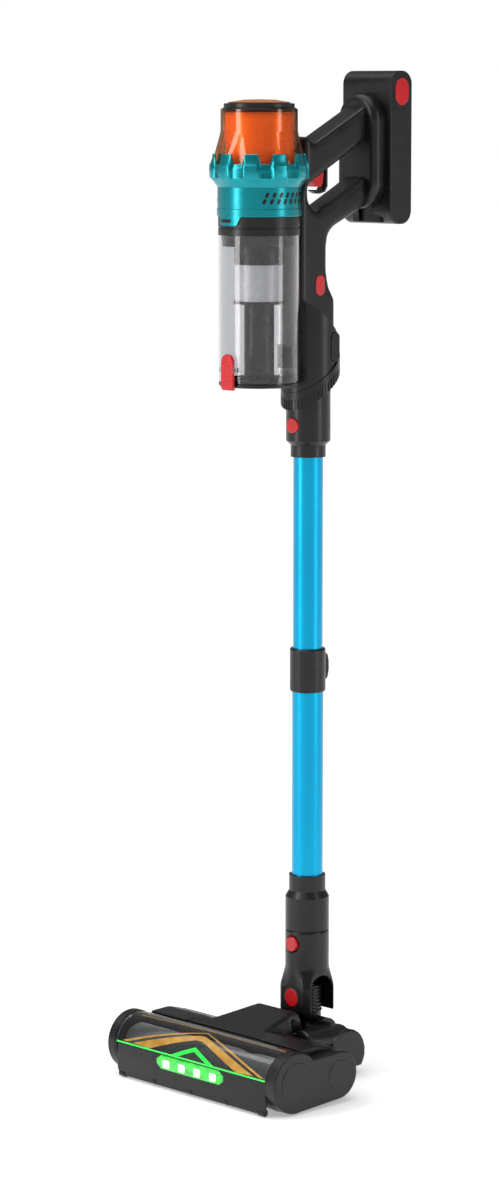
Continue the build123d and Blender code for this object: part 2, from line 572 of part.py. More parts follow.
with BuildPart() as inlet_barrel:
    disc(flange_r, 0, unit_z - 50, unit_z + 60, y=wand_y + 3)
    split(bisect_by=seam.offset(teeth_high + 7), keep=Keep.BOTTOM)
    disc(barrel_r, 0, unit_z - 60, unit_z + 110, y=barrel_y)
    split(bisect_by=barrel_top, keep=Keep.BOTTOM)
    split(bisect_by=seam.offset(teeth_high + 0.1), keep=Keep.TOP)
    disc(nozzle_r, 0, nozzle_low, unit_z + 10)
    block((-inlet_half - 3, inlet_half + 3), (wand_y - bin_back - 1.6, wand_y), (inlet_low - 3, inlet_high + 3))
    disc(inlet_r, 0, nozzle_low - 1, inlet_high, mode=Mode.SUBTRACT)
    block((-inlet_half, inlet_half), (wand_y - bin_back - 3, wand_y), (inlet_low, inlet_high), mode=Mode.SUBTRACT)
    turned([(nozzle_r - 1.8, button2_z - 11), (nozzle_r + 1, button2_z - 11), (nozzle_r + 1, button2_z + 11),
            (nozzle_r - 1.8, button2_z + 11)], mode=Mode.SUBTRACT)     # latch groove behind the button
    oblong_x(side_button_y, side_button_z, 13.6, 33.6, barrel_r - 5, barrel_r + 9, mode=Mode.SUBTRACT)
write(inlet_barrel, "inlet_barrel")

with BuildPart() as side_button:
    oblong_x(side_button_y, side_button_z, 13, 33, barrel_r - 3, barrel_r + 1.2)
    fillet(side_button.faces().sort_by(Axis.X)[-1].edges(), 1.2)
write(side_button, "side_button")

with BuildPart() as toothed_ring:       # grip teeth around the slanted seam
    disc(flange_r, nozzle_r + 0.6, unit_z - 60, unit_z + 60, y=wand_y + 3)
    with Locations((0, wand_y + 3, unit_z)):
        with PolarLocations(flange_r + 0.4, 48):
            Box(2.4, 2.0, 130, mode=Mode.SUBTRACT)
    split(bisect_by=seam.offset(teeth_high), keep=Keep.BOTTOM)
    split(bisect_by=seam.offset(teeth_low), keep=Keep.TOP)
    disc(nozzle_r + 0.1, 0, unit_z - 60, unit_z + 60, mode=Mode.SUBTRACT)
write(toothed_ring, "toothed_ring")

# ---- hand unit: grip frame in two half shells ------------------------------------------------
frame_half = 17.0
dock_front = reach_back - battery_depth - 18.0      # from the wand axis
grip_slope = 0.532
bar_slope = 0.513


def grip_line(y, height):
    """Height above unit_z of the upper grip's edge at y, where height is its value at y = 0."""
    return height + grip_slope * y


def at_unit(points):
    """Side outline points with z counted from unit_z, as absolute heights."""
    return [(y, unit_z + z) for y, z in points]


def frame_outline(inset):
    """Side outline of spine, upper grip and lower bar around the finger loop, on local (y, z)."""
    solid_points = [(-27.5, 94.7), (-27.5, 211), (-21.2, 225), (-21.2, 271), (-17, 275), (-8, 264.5),
                    (dock_front, grip_line(dock_front, 266.5)), (dock_front, 195.0), (24, 174.0), (15.5, 165),
                    (13.2, 154), (13.2, 124), (16.6, 108), (26.1, 93), (26.1, 48.6)]
    loop_end = dock_front + 20
    loop_points = [(-16.5, 205), (-16.5, 219.7), (loop_end, grip_line(loop_end, 228.5)),
                   (loop_end, 190.5 + bar_slope * loop_end), (0, 190.5), (-9, 193)]
    with BuildSketch() as loop:
        with BuildLine():
            Polyline(*[(wand_y + y, z) for y, z in at_unit(loop_points)], close=True)
        make_face()
        fillet(loop.vertices(), 4)
    with BuildSketch() as outline:
        with BuildLine():
            Polyline(*[(wand_y + y, z) for y, z in at_unit(solid_points)], close=True)
        make_face()
        corners = [v for v in outline.vertices() if unit_z + 90 < v.Y < unit_z + 176 and v.X > wand_y]
        fillet(corners, 5)
        add(loop.sketch, mode=Mode.SUBTRACT)
        if inset:
            offset(amount=-inset)
    return outline.sketch


screw_spots = [(58.0, 278.0), (48.0, 198.0), (3.0, 140.0), (8.0, 75.0)]     # (y from the wand, z from unit_z)
shell_screw_r = 1.5
trigger_pivot = (13.0, 241.0)
trigger_half = 6.0
release_y = 0.8                         # bin release button on the right side
release_z = 108.0

for side, name in ((1, "frame_right"), (-1, "frame_left")):
    with BuildPart() as frame_shell:
        across(frame_outline(0), min(0.05 * side, frame_half * side), max(0.05 * side, frame_half * side))
        outer_face = frame_shell.faces().filter_by(Axis.X).sort_by(Axis.X)[-1 if side > 0 else 0]
        fillet(outer_face.edges(), 3.0)
        inner = (0, side * (frame_half - wall))
        across(frame_outline(wall), min(inner), max(inner), mode=Mode.SUBTRACT)
        for y, z in screw_spots:        # screw bosses
            boss = (0.05 * side, side * (frame_half - wall + 0.5))
            disc_x(3.6, 0, min(boss), max(boss), wand_y + y, unit_z + z)
            hole = (-0.2 * side, side * (frame_half - wall - 2))
            disc_x(shell_screw_r + pin_gap, 0, min(hole), max(hole), wand_y + y, unit_z + z, mode=Mode.SUBTRACT)
            if side > 0:
                disc_x(3.0, 0, frame_half - 2.9, frame_half + 1, wand_y + y, unit_z + z, mode=Mode.SUBTRACT)
                disc_x(shell_screw_r + pin_gap, 0, 0, frame_half, wand_y + y, unit_z + z, mode=Mode.SUBTRACT)
        trigger_slot = (-0.1 * side, side * (trigger_half + 0.4))
        block((min(trigger_slot), max(trigger_slot)), (wand_y - 6, wand_y + 20.8), (unit_z + 215, unit_z + 246),
              mode=Mode.SUBTRACT)
        pad = (0.05 * side, side * 9)
        block((min(pad), max(pad)), (bin_y + housing_r + seat_gap, wand_y - 26.5), (unit_z + 189, unit_z + 209))
        guard = (0.05 * side, side * trigger_half)
        side_slab(at_unit([(20.8, 243), (23.8, 243), (23.8, 218), (19.8, 211.8), (11.3, 209.8), (4.2, 213),
                           (4.6, 214.4), (12, 212.4), (17.5, 214), (20.8, 219)]), min(guard), max(guard))
        peg_boss = (side * (trigger_half + 0.4), side * (frame_half - wall + 0.5))
        disc_x(3.6, 0, min(peg_boss), max(peg_boss), wand_y + trigger_pivot[0], unit_z + trigger_pivot[1])
        disc_x(1.5 + pin_gap, 0, -9.5, 9.5, wand_y + trigger_pivot[0], unit_z + trigger_pivot[1], mode=Mode.SUBTRACT)
        if side > 0:
            oblong_x(wand_y + release_y, unit_z + release_z, 14.6, 23.6, frame_half - 6, frame_half + 1,
                     mode=Mode.SUBTRACT)
    write(frame_shell, name)

with BuildPart() as frame_screws:
    for y, z in screw_spots:
        disc_x(shell_screw_r, 0, -frame_half + wall + 3, frame_half - 2.8, wand_y + y, unit_z + z)
        disc_x(2.8, 0, frame_half - 2.8, frame_half - 1.2, wand_y + y, unit_z + z)
write(frame_screws, "frame_screws")

with BuildPart() as bin_release_button:
    oblong_x(wand_y + release_y, unit_z + release_z, 14, 23, frame_half - 3.5, frame_half + 1.2)
    fillet(bin_release_button.faces().sort_by(Axis.X)[-1].edges(), 1.2)
write(bin_release_button, "bin_release_button")

with BuildPart() as trigger:
    side_slab(at_unit([(-3, 223.5), (3.5, 215.8), (13, 215.8), (15.5, 219), (17.2, 229), (17.2, 241.5),
                       (9, 241.5), (3, 230)]), -trigger_half, trigger_half)
    fillet(trigger.edges().filter_by(Axis.X).sort_by(Axis.Z)[:3], 1.2)
    disc_x(3.4, 0, -trigger_half, trigger_half, wand_y + trigger_pivot[0], unit_z + trigger_pivot[1])
    disc_x(1.5, 0, -9.2, 9.2, wand_y + trigger_pivot[0], unit_z + trigger_pivot[1])
write(trigger, "trigger")

# ---- battery dock and battery -----------------------------------------------------------------
dock_half = 30.0
dock_low = unit_z + 190
dock_top = unit_z + 318
dock_back = wand_y + reach_back - battery_depth - running_gap
dock_face = wand_y + dock_front + 0.1
rail_half = 18.0
rail_neck = 12.0
rail_low = unit_z + 215
rail_top = unit_z + 297
battery_low = unit_z + 173
battery_front = dock_back + running_gap
battery_back = wand_y + reach_back
rail_depth = 5.0
with BuildPart() as dock_plate:
    with BuildSketch(Plane((0, dock_face, 0), x_dir=(-1, 0, 0), z_dir=(0, 1, 0))):
        with Locations((0, (dock_low + dock_top) / 2)):
            SlotOverall(dock_top - dock_low, 2 * dock_half, rotation=90)
    extrude(amount=dock_back - dock_face)
    fillet(dock_plate.faces().sort_by(Axis.Y)[0].edges(), 8)
    block((-rail_neck, rail_neck), (dock_back - 1, dock_back + 2.6), (rail_low, rail_top))
    block((-rail_half, rail_half), (dock_back + 2.6, dock_back + rail_depth), (rail_low, rail_top))
    block((-20, 20), (dock_face + 3, dock_back - 3), (dock_low + 20, dock_top - 20), mode=Mode.SUBTRACT)
write(dock_plate, "dock_plate")

case_corner = 15.0
case_wall = 2.4
button_y = battery_front + 18.0
button_z = battery_low + 147.0
jack_r = 2.8
jack_depth = 9.0
with BuildPart() as battery_case:
    with BuildSketch(Plane((-battery_width / 2, 0, 0), x_dir=(0, 1, 0), z_dir=(1, 0, 0))):
        with Locations(((battery_front + battery_back) / 2, battery_low + battery_height / 2)):
            RectangleRounded(battery_depth, battery_height, case_corner)
    extrude(amount=battery_width)
    fillet(battery_case.edges().filter_by(Axis.X, reverse=True), 1.4)
    with BuildSketch(Plane((-battery_width / 2 + case_wall, 0, 0), x_dir=(0, 1, 0), z_dir=(1, 0, 0))) as cavity:
        with Locations(((battery_front + battery_back) / 2, battery_low + battery_height / 2)):
            RectangleRounded(battery_depth - 2 * case_wall, battery_height - 2 * case_wall, case_corner - case_wall)
    extrude(cavity.sketch, amount=battery_width - 2 * case_wall, mode=Mode.SUBTRACT)
    pocket_back = battery_front + rail_depth + 0.2
    block((-rail_half - 3, rail_half + 3), (battery_front + 0.8, pocket_back + 2), (battery_low + 2, rail_top + 3))
    block((-rail_half - running_gap, rail_half + running_gap), (battery_front + 2.4 - running_gap, pocket_back),
          (battery_low - 1, rail_top + 0.1), mode=Mode.SUBTRACT)
    block((-rail_neck - running_gap, rail_neck + running_gap), (battery_front - 1, battery_front + 3),
          (battery_low - 1, rail_top + 0.1), mode=Mode.SUBTRACT)
    disc(jack_r + 2.4, 0, battery_low + 1, battery_low + jack_depth + 1.5, y=battery_back - 13)
    disc(jack_r, 0, battery_low - 1, battery_low + jack_depth, y=battery_back - 13, mode=Mode.SUBTRACT)
    for side in (-1, 1):
        ends = (side * (battery_width / 2 - 4), side * (battery_width / 2 + 1))
        oblong_x(button_y, button_z, 21.6, 30.6, min(ends), max(ends), mode=Mode.SUBTRACT)
write(battery_case, "battery_case")

cell_r = 9.2
cell_length = battery_width - 10.0
cell_pitch = 2 * cell_r + 0.4
first_cell = battery_low + jack_depth + 2 + cell_r
cell_count = int((battery_low + battery_height - case_wall - 3 - first_cell) // cell_pitch) + 1
with BuildPart() as battery_cells:
    for number in range(cell_count):
        disc_x(cell_r, 0, -cell_length / 2, cell_length / 2, battery_back - case_wall - 0.5 - cell_r,
               first_cell + number * cell_pitch)
write(battery_cells, "battery_cells")

for side, name in ((-1, "left"), (1, "right")):
    with BuildPart() as battery_button:
        ends = (side * (battery_width / 2 - 2.2), side * (battery_width / 2 + 0.7))
        oblong_x(button_y, button_z, 21, 30, min(ends), max(ends))
        fillet(battery_button.faces().sort_by(Axis.X)[-1 if side > 0 else 0].edges(), 0.6)
    write(battery_button, f"battery_button_{name}")

# ---- bin, cyclone and motor head, round the bin's own upright axis ---------------------------
bin_wall = 2.2
bin_low = unit_z
bin_top = bin_low + bin_height
flap_thick = 3.9
plug_high = 9.0
hinge_y = bin_y + bin_r - 1.2
hinge_z = bin_low + 0.5
hinge_pin_r = 1.2
lug_r = 2.6
latch_z = bin_low + 20
latch_y = bin_y - bin_r - 3.0
latch_half = 9.0
with BuildPart() as dust_bin:
    turned([(bin_r - bin_wall, bin_low + flap_thick + 0.1), (bin_r - 1, bin_low + flap_thick + 0.1),
            (bin_r, bin_low + flap_thick + 2), (bin_r, bin_top), (bin_r - bin_wall, bin_top)], y=bin_y)
    block((-inlet_half - 3.3, inlet_half + 3.3), (bin_y + 20, bin_y + bin_r + 2), (inlet_low - 3.3, inlet_high + 3.3),
          mode=Mode.SUBTRACT)           # window for the barrel's snout
    for side in (-1, 1):                # hinge lugs with their pegs, and the latch's ears
        lug = (side * 8, side * 12)
        block((min(lug), max(lug)), (hinge_y - lug_r + 1, hinge_y + lug_r - 0.2), (hinge_z, bin_low + flap_thick + 6))
        disc_x(lug_r - 0.2, 0, min(lug), max(lug), hinge_y, hinge_z)
        peg = (side * 5.2, side * 8.2)
        disc_x(hinge_pin_r, 0, min(peg), max(peg), hinge_y, hinge_z)
        ear = (side * (latch_half + 0.4), side * (latch_half + 2.6))
        block((min(ear), max(ear)), (latch_y - 1.6, bin_y - bin_r + 2.2), (latch_z - 2.4, latch_z + 2.4))
        pin = (side * (latch_half - 2.6), side * (latch_half + 1))
        disc_x(1.2, 0, min(pin), max(pin), latch_y, latch_z)
    disc(bin_r - bin_wall, 0, bin_low - 5, bin_top + 1, y=bin_y, mode=Mode.SUBTRACT)
write(dust_bin, "dust_bin")

with BuildPart() as bin_flap:
    turned([(0, bin_low), (bin_r - 1.5, bin_low), (bin_r, bin_low + 1.5), (bin_r, bin_low + flap_thick),
            (bin_r - bin_wall - 0.4, bin_low + flap_thick), (bin_r - bin_wall - 0.4, bin_low + plug_high - 1),
            (bin_r - bin_wall - 1.4, bin_low + plug_high), (bin_r - bin_wall - 5, bin_low + plug_high),
            (bin_r - bin_wall - 5, bin_low + flap_thick), (22, bin_low + flap_thick), (22, bin_low + plug_high),
            (0, bin_low + plug_high)], y=bin_y)
    block((-12.6, 12.6), (hinge_y - lug_r - 0.8, bin_y + bin_r + 1), (bin_low - 1, bin_low + plug_high + 1),
          mode=Mode.SUBTRACT)
    block((-7.6, 7.6), (hinge_y - lug_r - 1, hinge_y), (bin_low, bin_low + 2.6))
    disc_x(lug_r - 0.2, 0, -7.6, 7.6, hinge_y, hinge_z)
    disc_x(hinge_pin_r + pin_gap, 0, -8, 8, hinge_y, hinge_z, mode=Mode.SUBTRACT)
    block((-latch_half + 1, latch_half - 1), (bin_y - bin_r - 0.7, bin_y - bin_r + 3), (bin_low + 0.6, bin_low + 3.4))
write(bin_flap, "bin_flap")

with BuildPart() as flap_latch:         # rocker that hooks under the flap's lip
    with BuildSketch(Plane((0, latch_y + 1.2, 0), x_dir=(1, 0, 0), z_dir=(0, -1, 0))):
        with BuildLine():
            rise = Polyline((latch_half, latch_z + 8), (latch_half, bin_low - 0.6), (-latch_half, bin_low - 0.6),
                            (-latch_half, latch_z + 8))
            ThreePointArc(rise @ 1, (0, latch_z + 8 + latch_half), rise @ 0)
        make_face()
    extrude(amount=3.6)
    fillet(flap_latch.faces().sort_by(Axis.Y)[0].edges(), 1.0)
    disc_x(1.2 + pin_gap, 0, -latch_half - 1, latch_half + 1, latch_y, latch_z, mode=Mode.SUBTRACT)
    block((-latch_half + 1.2, latch_half - 1.2), (latch_y + 1, bin_y - bin_r + 0.4), (bin_low - 2.2, bin_low - 0.4))
    block((-latch_half + 1.2, latch_half - 1.2), (latch_y - 1.6, latch_y + 1.2), (bin_low - 2.2, bin_low + 1))
write(flap_latch, "flap_latch")

collar_top_z = bin_top + 20
cyclone_top_r = bin_r - 6.7
with BuildPart() as bin_collar:         # dark ring between the bin and the motor housing
    turned([(cyclone_top_r + 0.1, bin_top + 0.1), (bin_r + 0.5, bin_top + 0.1), (bin_r + 0.5, bin_top + 7.4),
            (bin_r - 0.3, bin_top + 7.8), (bin_r - 0.3, bin_top + 8.6), (bin_r + 0.5, bin_top + 9),
            (bin_r + 0.5, collar_top_z), (cyclone_top_r + 0.1, collar_top_z)], y=bin_y)
write(bin_collar, "bin_collar")

mesh_r = 26.0
mesh_thick = 0.9
column_r = 16.4
with BuildPart() as cyclone:            # shroud, inner core and centre column in one moulding
    turned([(cyclone_top_r, collar_top_z - 0.1), (cyclone_top_r, bin_top), (bin_r - bin_wall - 0.2, bin_top),
            (bin_r - bin_wall - 2, bin_top - 12), (mesh_r + 1, bin_top - 12), (mesh_r + 1, bin_top - 32),
            (mesh_r - mesh_thick - 0.05, bin_top - 32), (mesh_r - mesh_thick - 0.05, bin_low + 93),
            (mesh_r + 2, bin_low + 93), (mesh_r + 2, bin_low + 90), (column_r, bin_low + 90),
            (column_r, bin_low + plug_high + running_gap), (column_r - 2, bin_low + plug_high + running_gap),
            (column_r - 2, bin_low + 92), (mesh_r - 4, bin_low + 96), (mesh_r - 4, bin_top - 14),
            (cyclone_top_r - 3, collar_top_z - 3), (cyclone_top_r - 3, collar_top_z - 0.1)], y=bin_y)
write(cyclone, "cyclone")

with BuildPart() as mesh_screen:
    disc(mesh_r, mesh_r - mesh_thick, bin_low + 93.1, bin_top - 32.1, y=bin_y)
write(mesh_screen, "mesh_screen")

# Teal motor housing: a round shell with two rows of slanted vents on each side.
housing_low = collar_top_z + 0.1
housing_top = collar_top_z + 32
vent_z = housing_low + 20.5
crown_top = housing_top + 36
crown_r = bin_r + 10.1
with BuildPart() as motor_housing:
    turned([(housing_r - wall, housing_low + 3), (25, housing_low + 3), (25, housing_low),
            (housing_r - 1.2, housing_low), (housing_r, housing_low + 1.2), (housing_r, housing_top),
            (housing_r - wall, housing_top)], y=bin_y)
    vents = []
    for side in (0, 180):
        for number in range(8):
            angle = side + 1.5 + (number - 3.5) * 10.5
            for row in (-3.3, 3.3):
                spin = angle + (0.55 * row if side == 0 else -0.55 * row)
                place = (housing_r * cos(radians(spin)), bin_y + housing_r * sin(radians(spin)), vent_z + row)
                vents.append(Location(place, (0, 0, spin)) * Location((0, 0, 0), (-28, 0, 0)))
    with Locations(*vents):
        Box(12, 2.2, 5.4, mode=Mode.SUBTRACT)
write(motor_housing, "motor_housing")

cap_low_r = bin_r + 4.4
points_of_crown = 10
with BuildPart() as crown:
    turned([(housing_r - wall, housing_top + 0.1), (housing_r + 0.3, housing_top + 0.1), (crown_r, housing_top + 10),
            (crown_r, housing_top + 24), (cap_low_r + 2, crown_top), (cap_low_r + 0.4, crown_top),
            (cap_low_r + 0.4, crown_top - 17), (housing_r - wall, crown_top - 17)], y=bin_y)
    scallop = 10.0
    with Locations((0, bin_y, crown_top - 12.5 + scallop)):
        with PolarLocations(crown_r - 2, points_of_crown):
            Cylinder(scallop, 16, rotation=(0, 90, 0), mode=Mode.SUBTRACT)
write(crown, "crown")

cap_r = bin_r - 2.3
cap_base = crown_top - 16.9
cap_flare = crown_top + 1
cap_waist = crown_top + 24
cap_top = crown_top + 48
with BuildPart() as filter_cap:         # clear dome round the filter
    turned([(cap_low_r, cap_base), (cap_low_r, cap_flare), (cap_r, cap_waist), (cap_r, cap_top),
            (cap_r - 2, cap_top), (cap_r - 2, cap_waist + 0.4), (cap_low_r - 2, cap_flare + 0.4),
            (cap_low_r - 2, cap_base)], y=bin_y)
write(filter_cap, "filter_cap")

with BuildPart() as cap_ring:           # handle ring with a domed lens on top of the cap
    turned([(0, cap_top - 3), (cap_r - 2.1, cap_top - 3), (cap_r - 2.1, cap_top + 0.1), (cap_r - 0.4, cap_top + 0.1),
            (cap_r - 3.5, cap_top + 2), (cap_r - 3.5, cap_top + 6), (cap_r - 8, cap_top + 6.5),
            (cap_r - 16, cap_top + 8.6), (0, cap_top + 10)], y=bin_y)
write(cap_ring, "cap_ring")

motor_can_r = 30.0
impeller_r = 26.0
motor_low = housing_low + 15
deck = crown_top - 17                    # shoulder that carries the motor and the filter
with BuildPart() as suction_motor:
    turned([(3 + pin_gap, motor_low), (motor_can_r, motor_low), (motor_can_r, deck - 4), (housing_r - wall - 0.1, deck - 4),
            (housing_r - wall - 0.1, deck), (cap_low_r - 2.6, deck + 0.1), (cap_low_r - 2.6, deck + 2.6),
            (0, deck + 2.6), (0, motor_low + 15), (3 + pin_gap, motor_low + 15)], y=bin_y)
write(suction_motor, "suction_motor")

with BuildPart() as impeller:
    disc(impeller_r, 0, motor_low - 3, motor_low - 1, y=bin_y)
    disc(3.0, 0, motor_low - 3, motor_low + 14, y=bin_y)
    disc(7.0, 0, motor_low - 10, motor_low - 3, y=bin_y)
    with Locations((0, bin_y, motor_low - 6)):
        with PolarLocations(15.5, 9):
            Box(18, 1.2, 6.2)
write(impeller, "impeller")

filter_r = cap_r - 4.6
with BuildPart() as filter_core:        # pleated filter under the cap
    disc(filter_r, filter_r - 13, deck + 2.7, cap_top - 3.1, y=bin_y)
    with Locations((0, bin_y, (deck + cap_top) / 2)):
        with PolarLocations(filter_r + 0.5, 36):
            Box(5, 1.6, 100, mode=Mode.SUBTRACT)
write(filter_core, "filter_core")
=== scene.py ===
"""Looks of a cordless stick vacuum, standing on its floor head with the battery on its grip.

Lengths are in metres. X is across the floor head, -Y is the front and +Z is up; the wand
stands at y = WAND_Y.
"""
from math import atan2, cos, pi, radians, sin, tau

import bmesh
import bpy
from mathutils import Matrix, Vector


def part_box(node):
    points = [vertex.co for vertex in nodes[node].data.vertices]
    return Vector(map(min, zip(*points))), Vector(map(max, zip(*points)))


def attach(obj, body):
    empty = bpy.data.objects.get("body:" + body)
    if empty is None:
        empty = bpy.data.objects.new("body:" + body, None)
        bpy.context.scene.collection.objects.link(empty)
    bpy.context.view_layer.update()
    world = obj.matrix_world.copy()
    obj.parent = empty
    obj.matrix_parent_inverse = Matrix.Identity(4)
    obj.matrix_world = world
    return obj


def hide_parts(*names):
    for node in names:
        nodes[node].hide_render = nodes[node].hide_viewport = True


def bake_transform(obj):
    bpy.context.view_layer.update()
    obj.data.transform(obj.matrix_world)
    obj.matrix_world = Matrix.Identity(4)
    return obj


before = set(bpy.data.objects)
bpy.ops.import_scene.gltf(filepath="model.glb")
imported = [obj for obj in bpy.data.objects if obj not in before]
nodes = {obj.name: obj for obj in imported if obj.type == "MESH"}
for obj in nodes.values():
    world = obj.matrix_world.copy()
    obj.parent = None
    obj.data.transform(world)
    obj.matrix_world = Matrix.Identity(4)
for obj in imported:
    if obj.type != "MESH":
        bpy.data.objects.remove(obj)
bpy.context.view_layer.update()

# ---- Room ---------------------------------------------------------------------------------
# A seamless white floor in a white room, under an even white ceiling. A tall soft box at the
# left lights the front, and a narrow one at the right draws the rim of the tubes.
scene = bpy.context.scene
scene.view_settings.view_transform = "Standard"

camera_data = bpy.data.cameras.new("camera")
camera_data.lens = 108
camera_data.sensor_width = 36
camera = bpy.data.objects.new("camera", camera_data)
scene.collection.objects.link(camera)
camera.location = (2.8284, -2.7989, 1.100)
camera.rotation_euler = (radians(90 - 7.998), 0, radians(45.938))
scene.camera = camera

room = bpy.data.worlds.new("white_room")
room.use_nodes = True
walls = room.node_tree.nodes["Background"]
walls.inputs["Color"].default_value = (1, 1, 1, 1)
walls.inputs["Strength"].default_value = 0.22
backdrop = room.node_tree.nodes.new("ShaderNodeBackground")
backdrop.inputs["Color"].default_value = (1, 1, 1, 1)
seen = room.node_tree.nodes.new("ShaderNodeLightPath")
either = room.node_tree.nodes.new("ShaderNodeMixShader")
room.node_tree.links.new(seen.outputs["Is Camera Ray"], either.inputs["Fac"])
room.node_tree.links.new(walls.outputs["Background"], either.inputs[1])
room.node_tree.links.new(backdrop.outputs["Background"], either.inputs[2])
room.node_tree.links.new(either.outputs["Shader"], room.node_tree.nodes["World Output"].inputs["Surface"])
scene.world = room

ground = bmesh.new()
bmesh.ops.create_circle(ground, cap_ends=True, radius=30, segments=64)
ground_mesh = bpy.data.meshes.new("studio_floor")
ground.to_mesh(ground_mesh)
ground.free()
floor = bpy.data.objects.new("studio_floor", ground_mesh)
scene.collection.objects.link(floor)
floor_paint = bpy.data.materials.new("floor_paint")
floor_paint.use_nodes = True
floor_shader = floor_paint.node_tree.nodes["Principled BSDF"]
floor_shader.inputs["Base Color"].default_value = (0.93, 0.93, 0.93, 1)
floor_shader.inputs["Roughness"].default_value = 0.75
floor_shader.inputs["Emission Color"].default_value = (1, 1, 1, 1)
floor_shader.inputs["Emission Strength"].default_value = 0.36
ground_mesh.materials.append(floor_paint)


def soft_box(name, place, target, width, height, power):
    """A rectangular lamp at place, facing target."""
    lamp = bpy.data.lights.new(name, "AREA")
    lamp.shape = "RECTANGLE"
    lamp.size, lamp.size_y, lamp.energy = width, height, power
    holder = bpy.data.objects.new(name, lamp)
    scene.collection.objects.link(holder)
    holder.location = place
    holder.rotation_euler = (Vector(target) - Vector(place)).to_track_quat("-Z", "Y").to_euler()


soft_box("key_light", (-0.9, -2.6, 1.5), (0, 0, 0.6), 0.8, 2.6, 34)
sky = bpy.data.lights.new("sky_light", "SUN")
sky.energy, sky.angle = 1.75, radians(70)
sky_holder = bpy.data.objects.new("sky_light", sky)
scene.collection.objects.link(sky_holder)
sky_holder.rotation_euler = (radians(14), radians(-10), 0)
soft_box("rim_light", (2.6, 0.9, 1.3), (0, 0, 0.7), 0.6, 2.6, 16)

# ---- Wand tubes -----------------------------------------------------------------------------
# Two aluminium tubes that slide one in the other, drawn and anodised in a bright pearl blue.
# Fine draw lines run along them, and the dye is a little uneven over their length.


def new_finish(name, tone, rough, metal=0.0, coat=0.0):
    """A named finish: its node tree and its shader, with the colour and gloss of the whole surface."""
    material = bpy.data.materials.new(name)
    material.use_nodes = True
    shader = material.node_tree.nodes["Principled BSDF"]
    shader.inputs["Base Color"].default_value = (*tone, 1)
    shader.inputs["Roughness"].default_value = rough
    shader.inputs["Metallic"].default_value = metal
    shader.inputs["Coat Weight"].default_value = coat
    shader.inputs["Coat Roughness"].default_value = 0.08
    shader.inputs["Specular IOR Level"].default_value = 0.4
    return material, material.node_tree, shader


def cloudy(tree, size, stretch=(1, 1, 1), detail=3):
    """Noise of about that size, in metres, on the part's own coordinates; its factor output."""
    place = tree.nodes.new("ShaderNodeTexCoord")
    turn = tree.nodes.new("ShaderNodeMapping")
    turn.inputs["Scale"].default_value = stretch
    noise = tree.nodes.new("ShaderNodeTexNoise")
    noise.inputs["Scale"].default_value = 1 / size
    noise.inputs["Detail"].default_value = detail
    tree.links.new(place.outputs["Object"], turn.inputs["Vector"])
    tree.links.new(turn.outputs["Vector"], noise.inputs["Vector"])
    return noise.outputs["Fac"]


def tint(tree, shader, factor, darker, lighter, low=0.3, high=0.7):
    """Colour that wanders between two tones with the factor."""
    ramp = tree.nodes.new("ShaderNodeValToRGB")
    ramp.color_ramp.elements[0].position, ramp.color_ramp.elements[1].position = low, high
    ramp.color_ramp.elements[0].color = (*darker, 1)
    ramp.color_ramp.elements[1].color = (*lighter, 1)
    tree.links.new(factor, ramp.inputs["Fac"])
    tree.links.new(ramp.outputs["Color"], shader.inputs["Base Color"])


def gloss(tree, shader, factor, smooth, rough):
    """Roughness that wanders between two values with the factor."""
    spread = tree.nodes.new("ShaderNodeMapRange")
    spread.inputs["From Min"].default_value, spread.inputs["From Max"].default_value = 0.3, 0.7
    spread.inputs["To Min"].default_value, spread.inputs["To Max"].default_value = smooth, rough
    tree.links.new(factor, spread.inputs["Value"])
    tree.links.new(spread.outputs["Result"], shader.inputs["Roughness"])


def grain(tree, shader, factor, depth, strength=0.5):
    """Fine relief of that depth, in metres."""
    relief = tree.nodes.new("ShaderNodeBump")
    relief.inputs["Strength"].default_value = strength
    relief.inputs["Distance"].default_value = depth
    tree.links.new(factor, relief.inputs["Height"])
    tree.links.new(relief.outputs["Normal"], shader.inputs["Normal"])


def dress(finish, *names):
    """Give CAD nodes a finish."""
    for name in names:
        nodes[name].data.materials.clear()
        nodes[name].data.materials.append(finish)


blue_anodise, tree, shader = new_finish("blue_anodise", (0.0, 0.38, 0.66), 0.28, metal=0.85, coat=0.15)
tint(tree, shader, cloudy(tree, 0.09, (1, 1, 0.4)), (0.0, 0.34, 0.60), (0.0, 0.42, 0.70))
gloss(tree, shader, cloudy(tree, 0.004, (1, 1, 0.02)), 0.28, 0.40)
grain(tree, shader, cloudy(tree, 0.0009, (1, 1, 0.01)), 0.00002, 0.35)
dress(blue_anodise, "lower_tube", "upper_tube")

# ---- Wand mouldings -------------------------------------------------------------------------
# Foot, height collar with its clip, and the adapter under the hand unit, all injection
# moulded in dark grey ABS with a fine spark-eroded grain and a gloss that wanders a little.


def moulded(name, tone, rough, grain_size=0.0006, depth=0.00002):
    """Moulded plastic: satin, with a fine grain and slightly uneven gloss."""
    finish, tree, shader = new_finish(name, tone, rough)
    darker, lighter = [0.86 * t for t in tone], [1.16 * t for t in tone]
    tint(tree, shader, cloudy(tree, 0.03), darker, lighter)
    gloss(tree, shader, cloudy(tree, 0.012), rough - 0.05, rough + 0.07)
    grain(tree, shader, cloudy(tree, grain_size, detail=2), depth)
    return finish


satin_grey = moulded("satin_grey", (0.0075, 0.0077, 0.0082), 0.30)
dress(satin_grey, "wand_foot", "height_collar", "height_button", "wand_adapter")

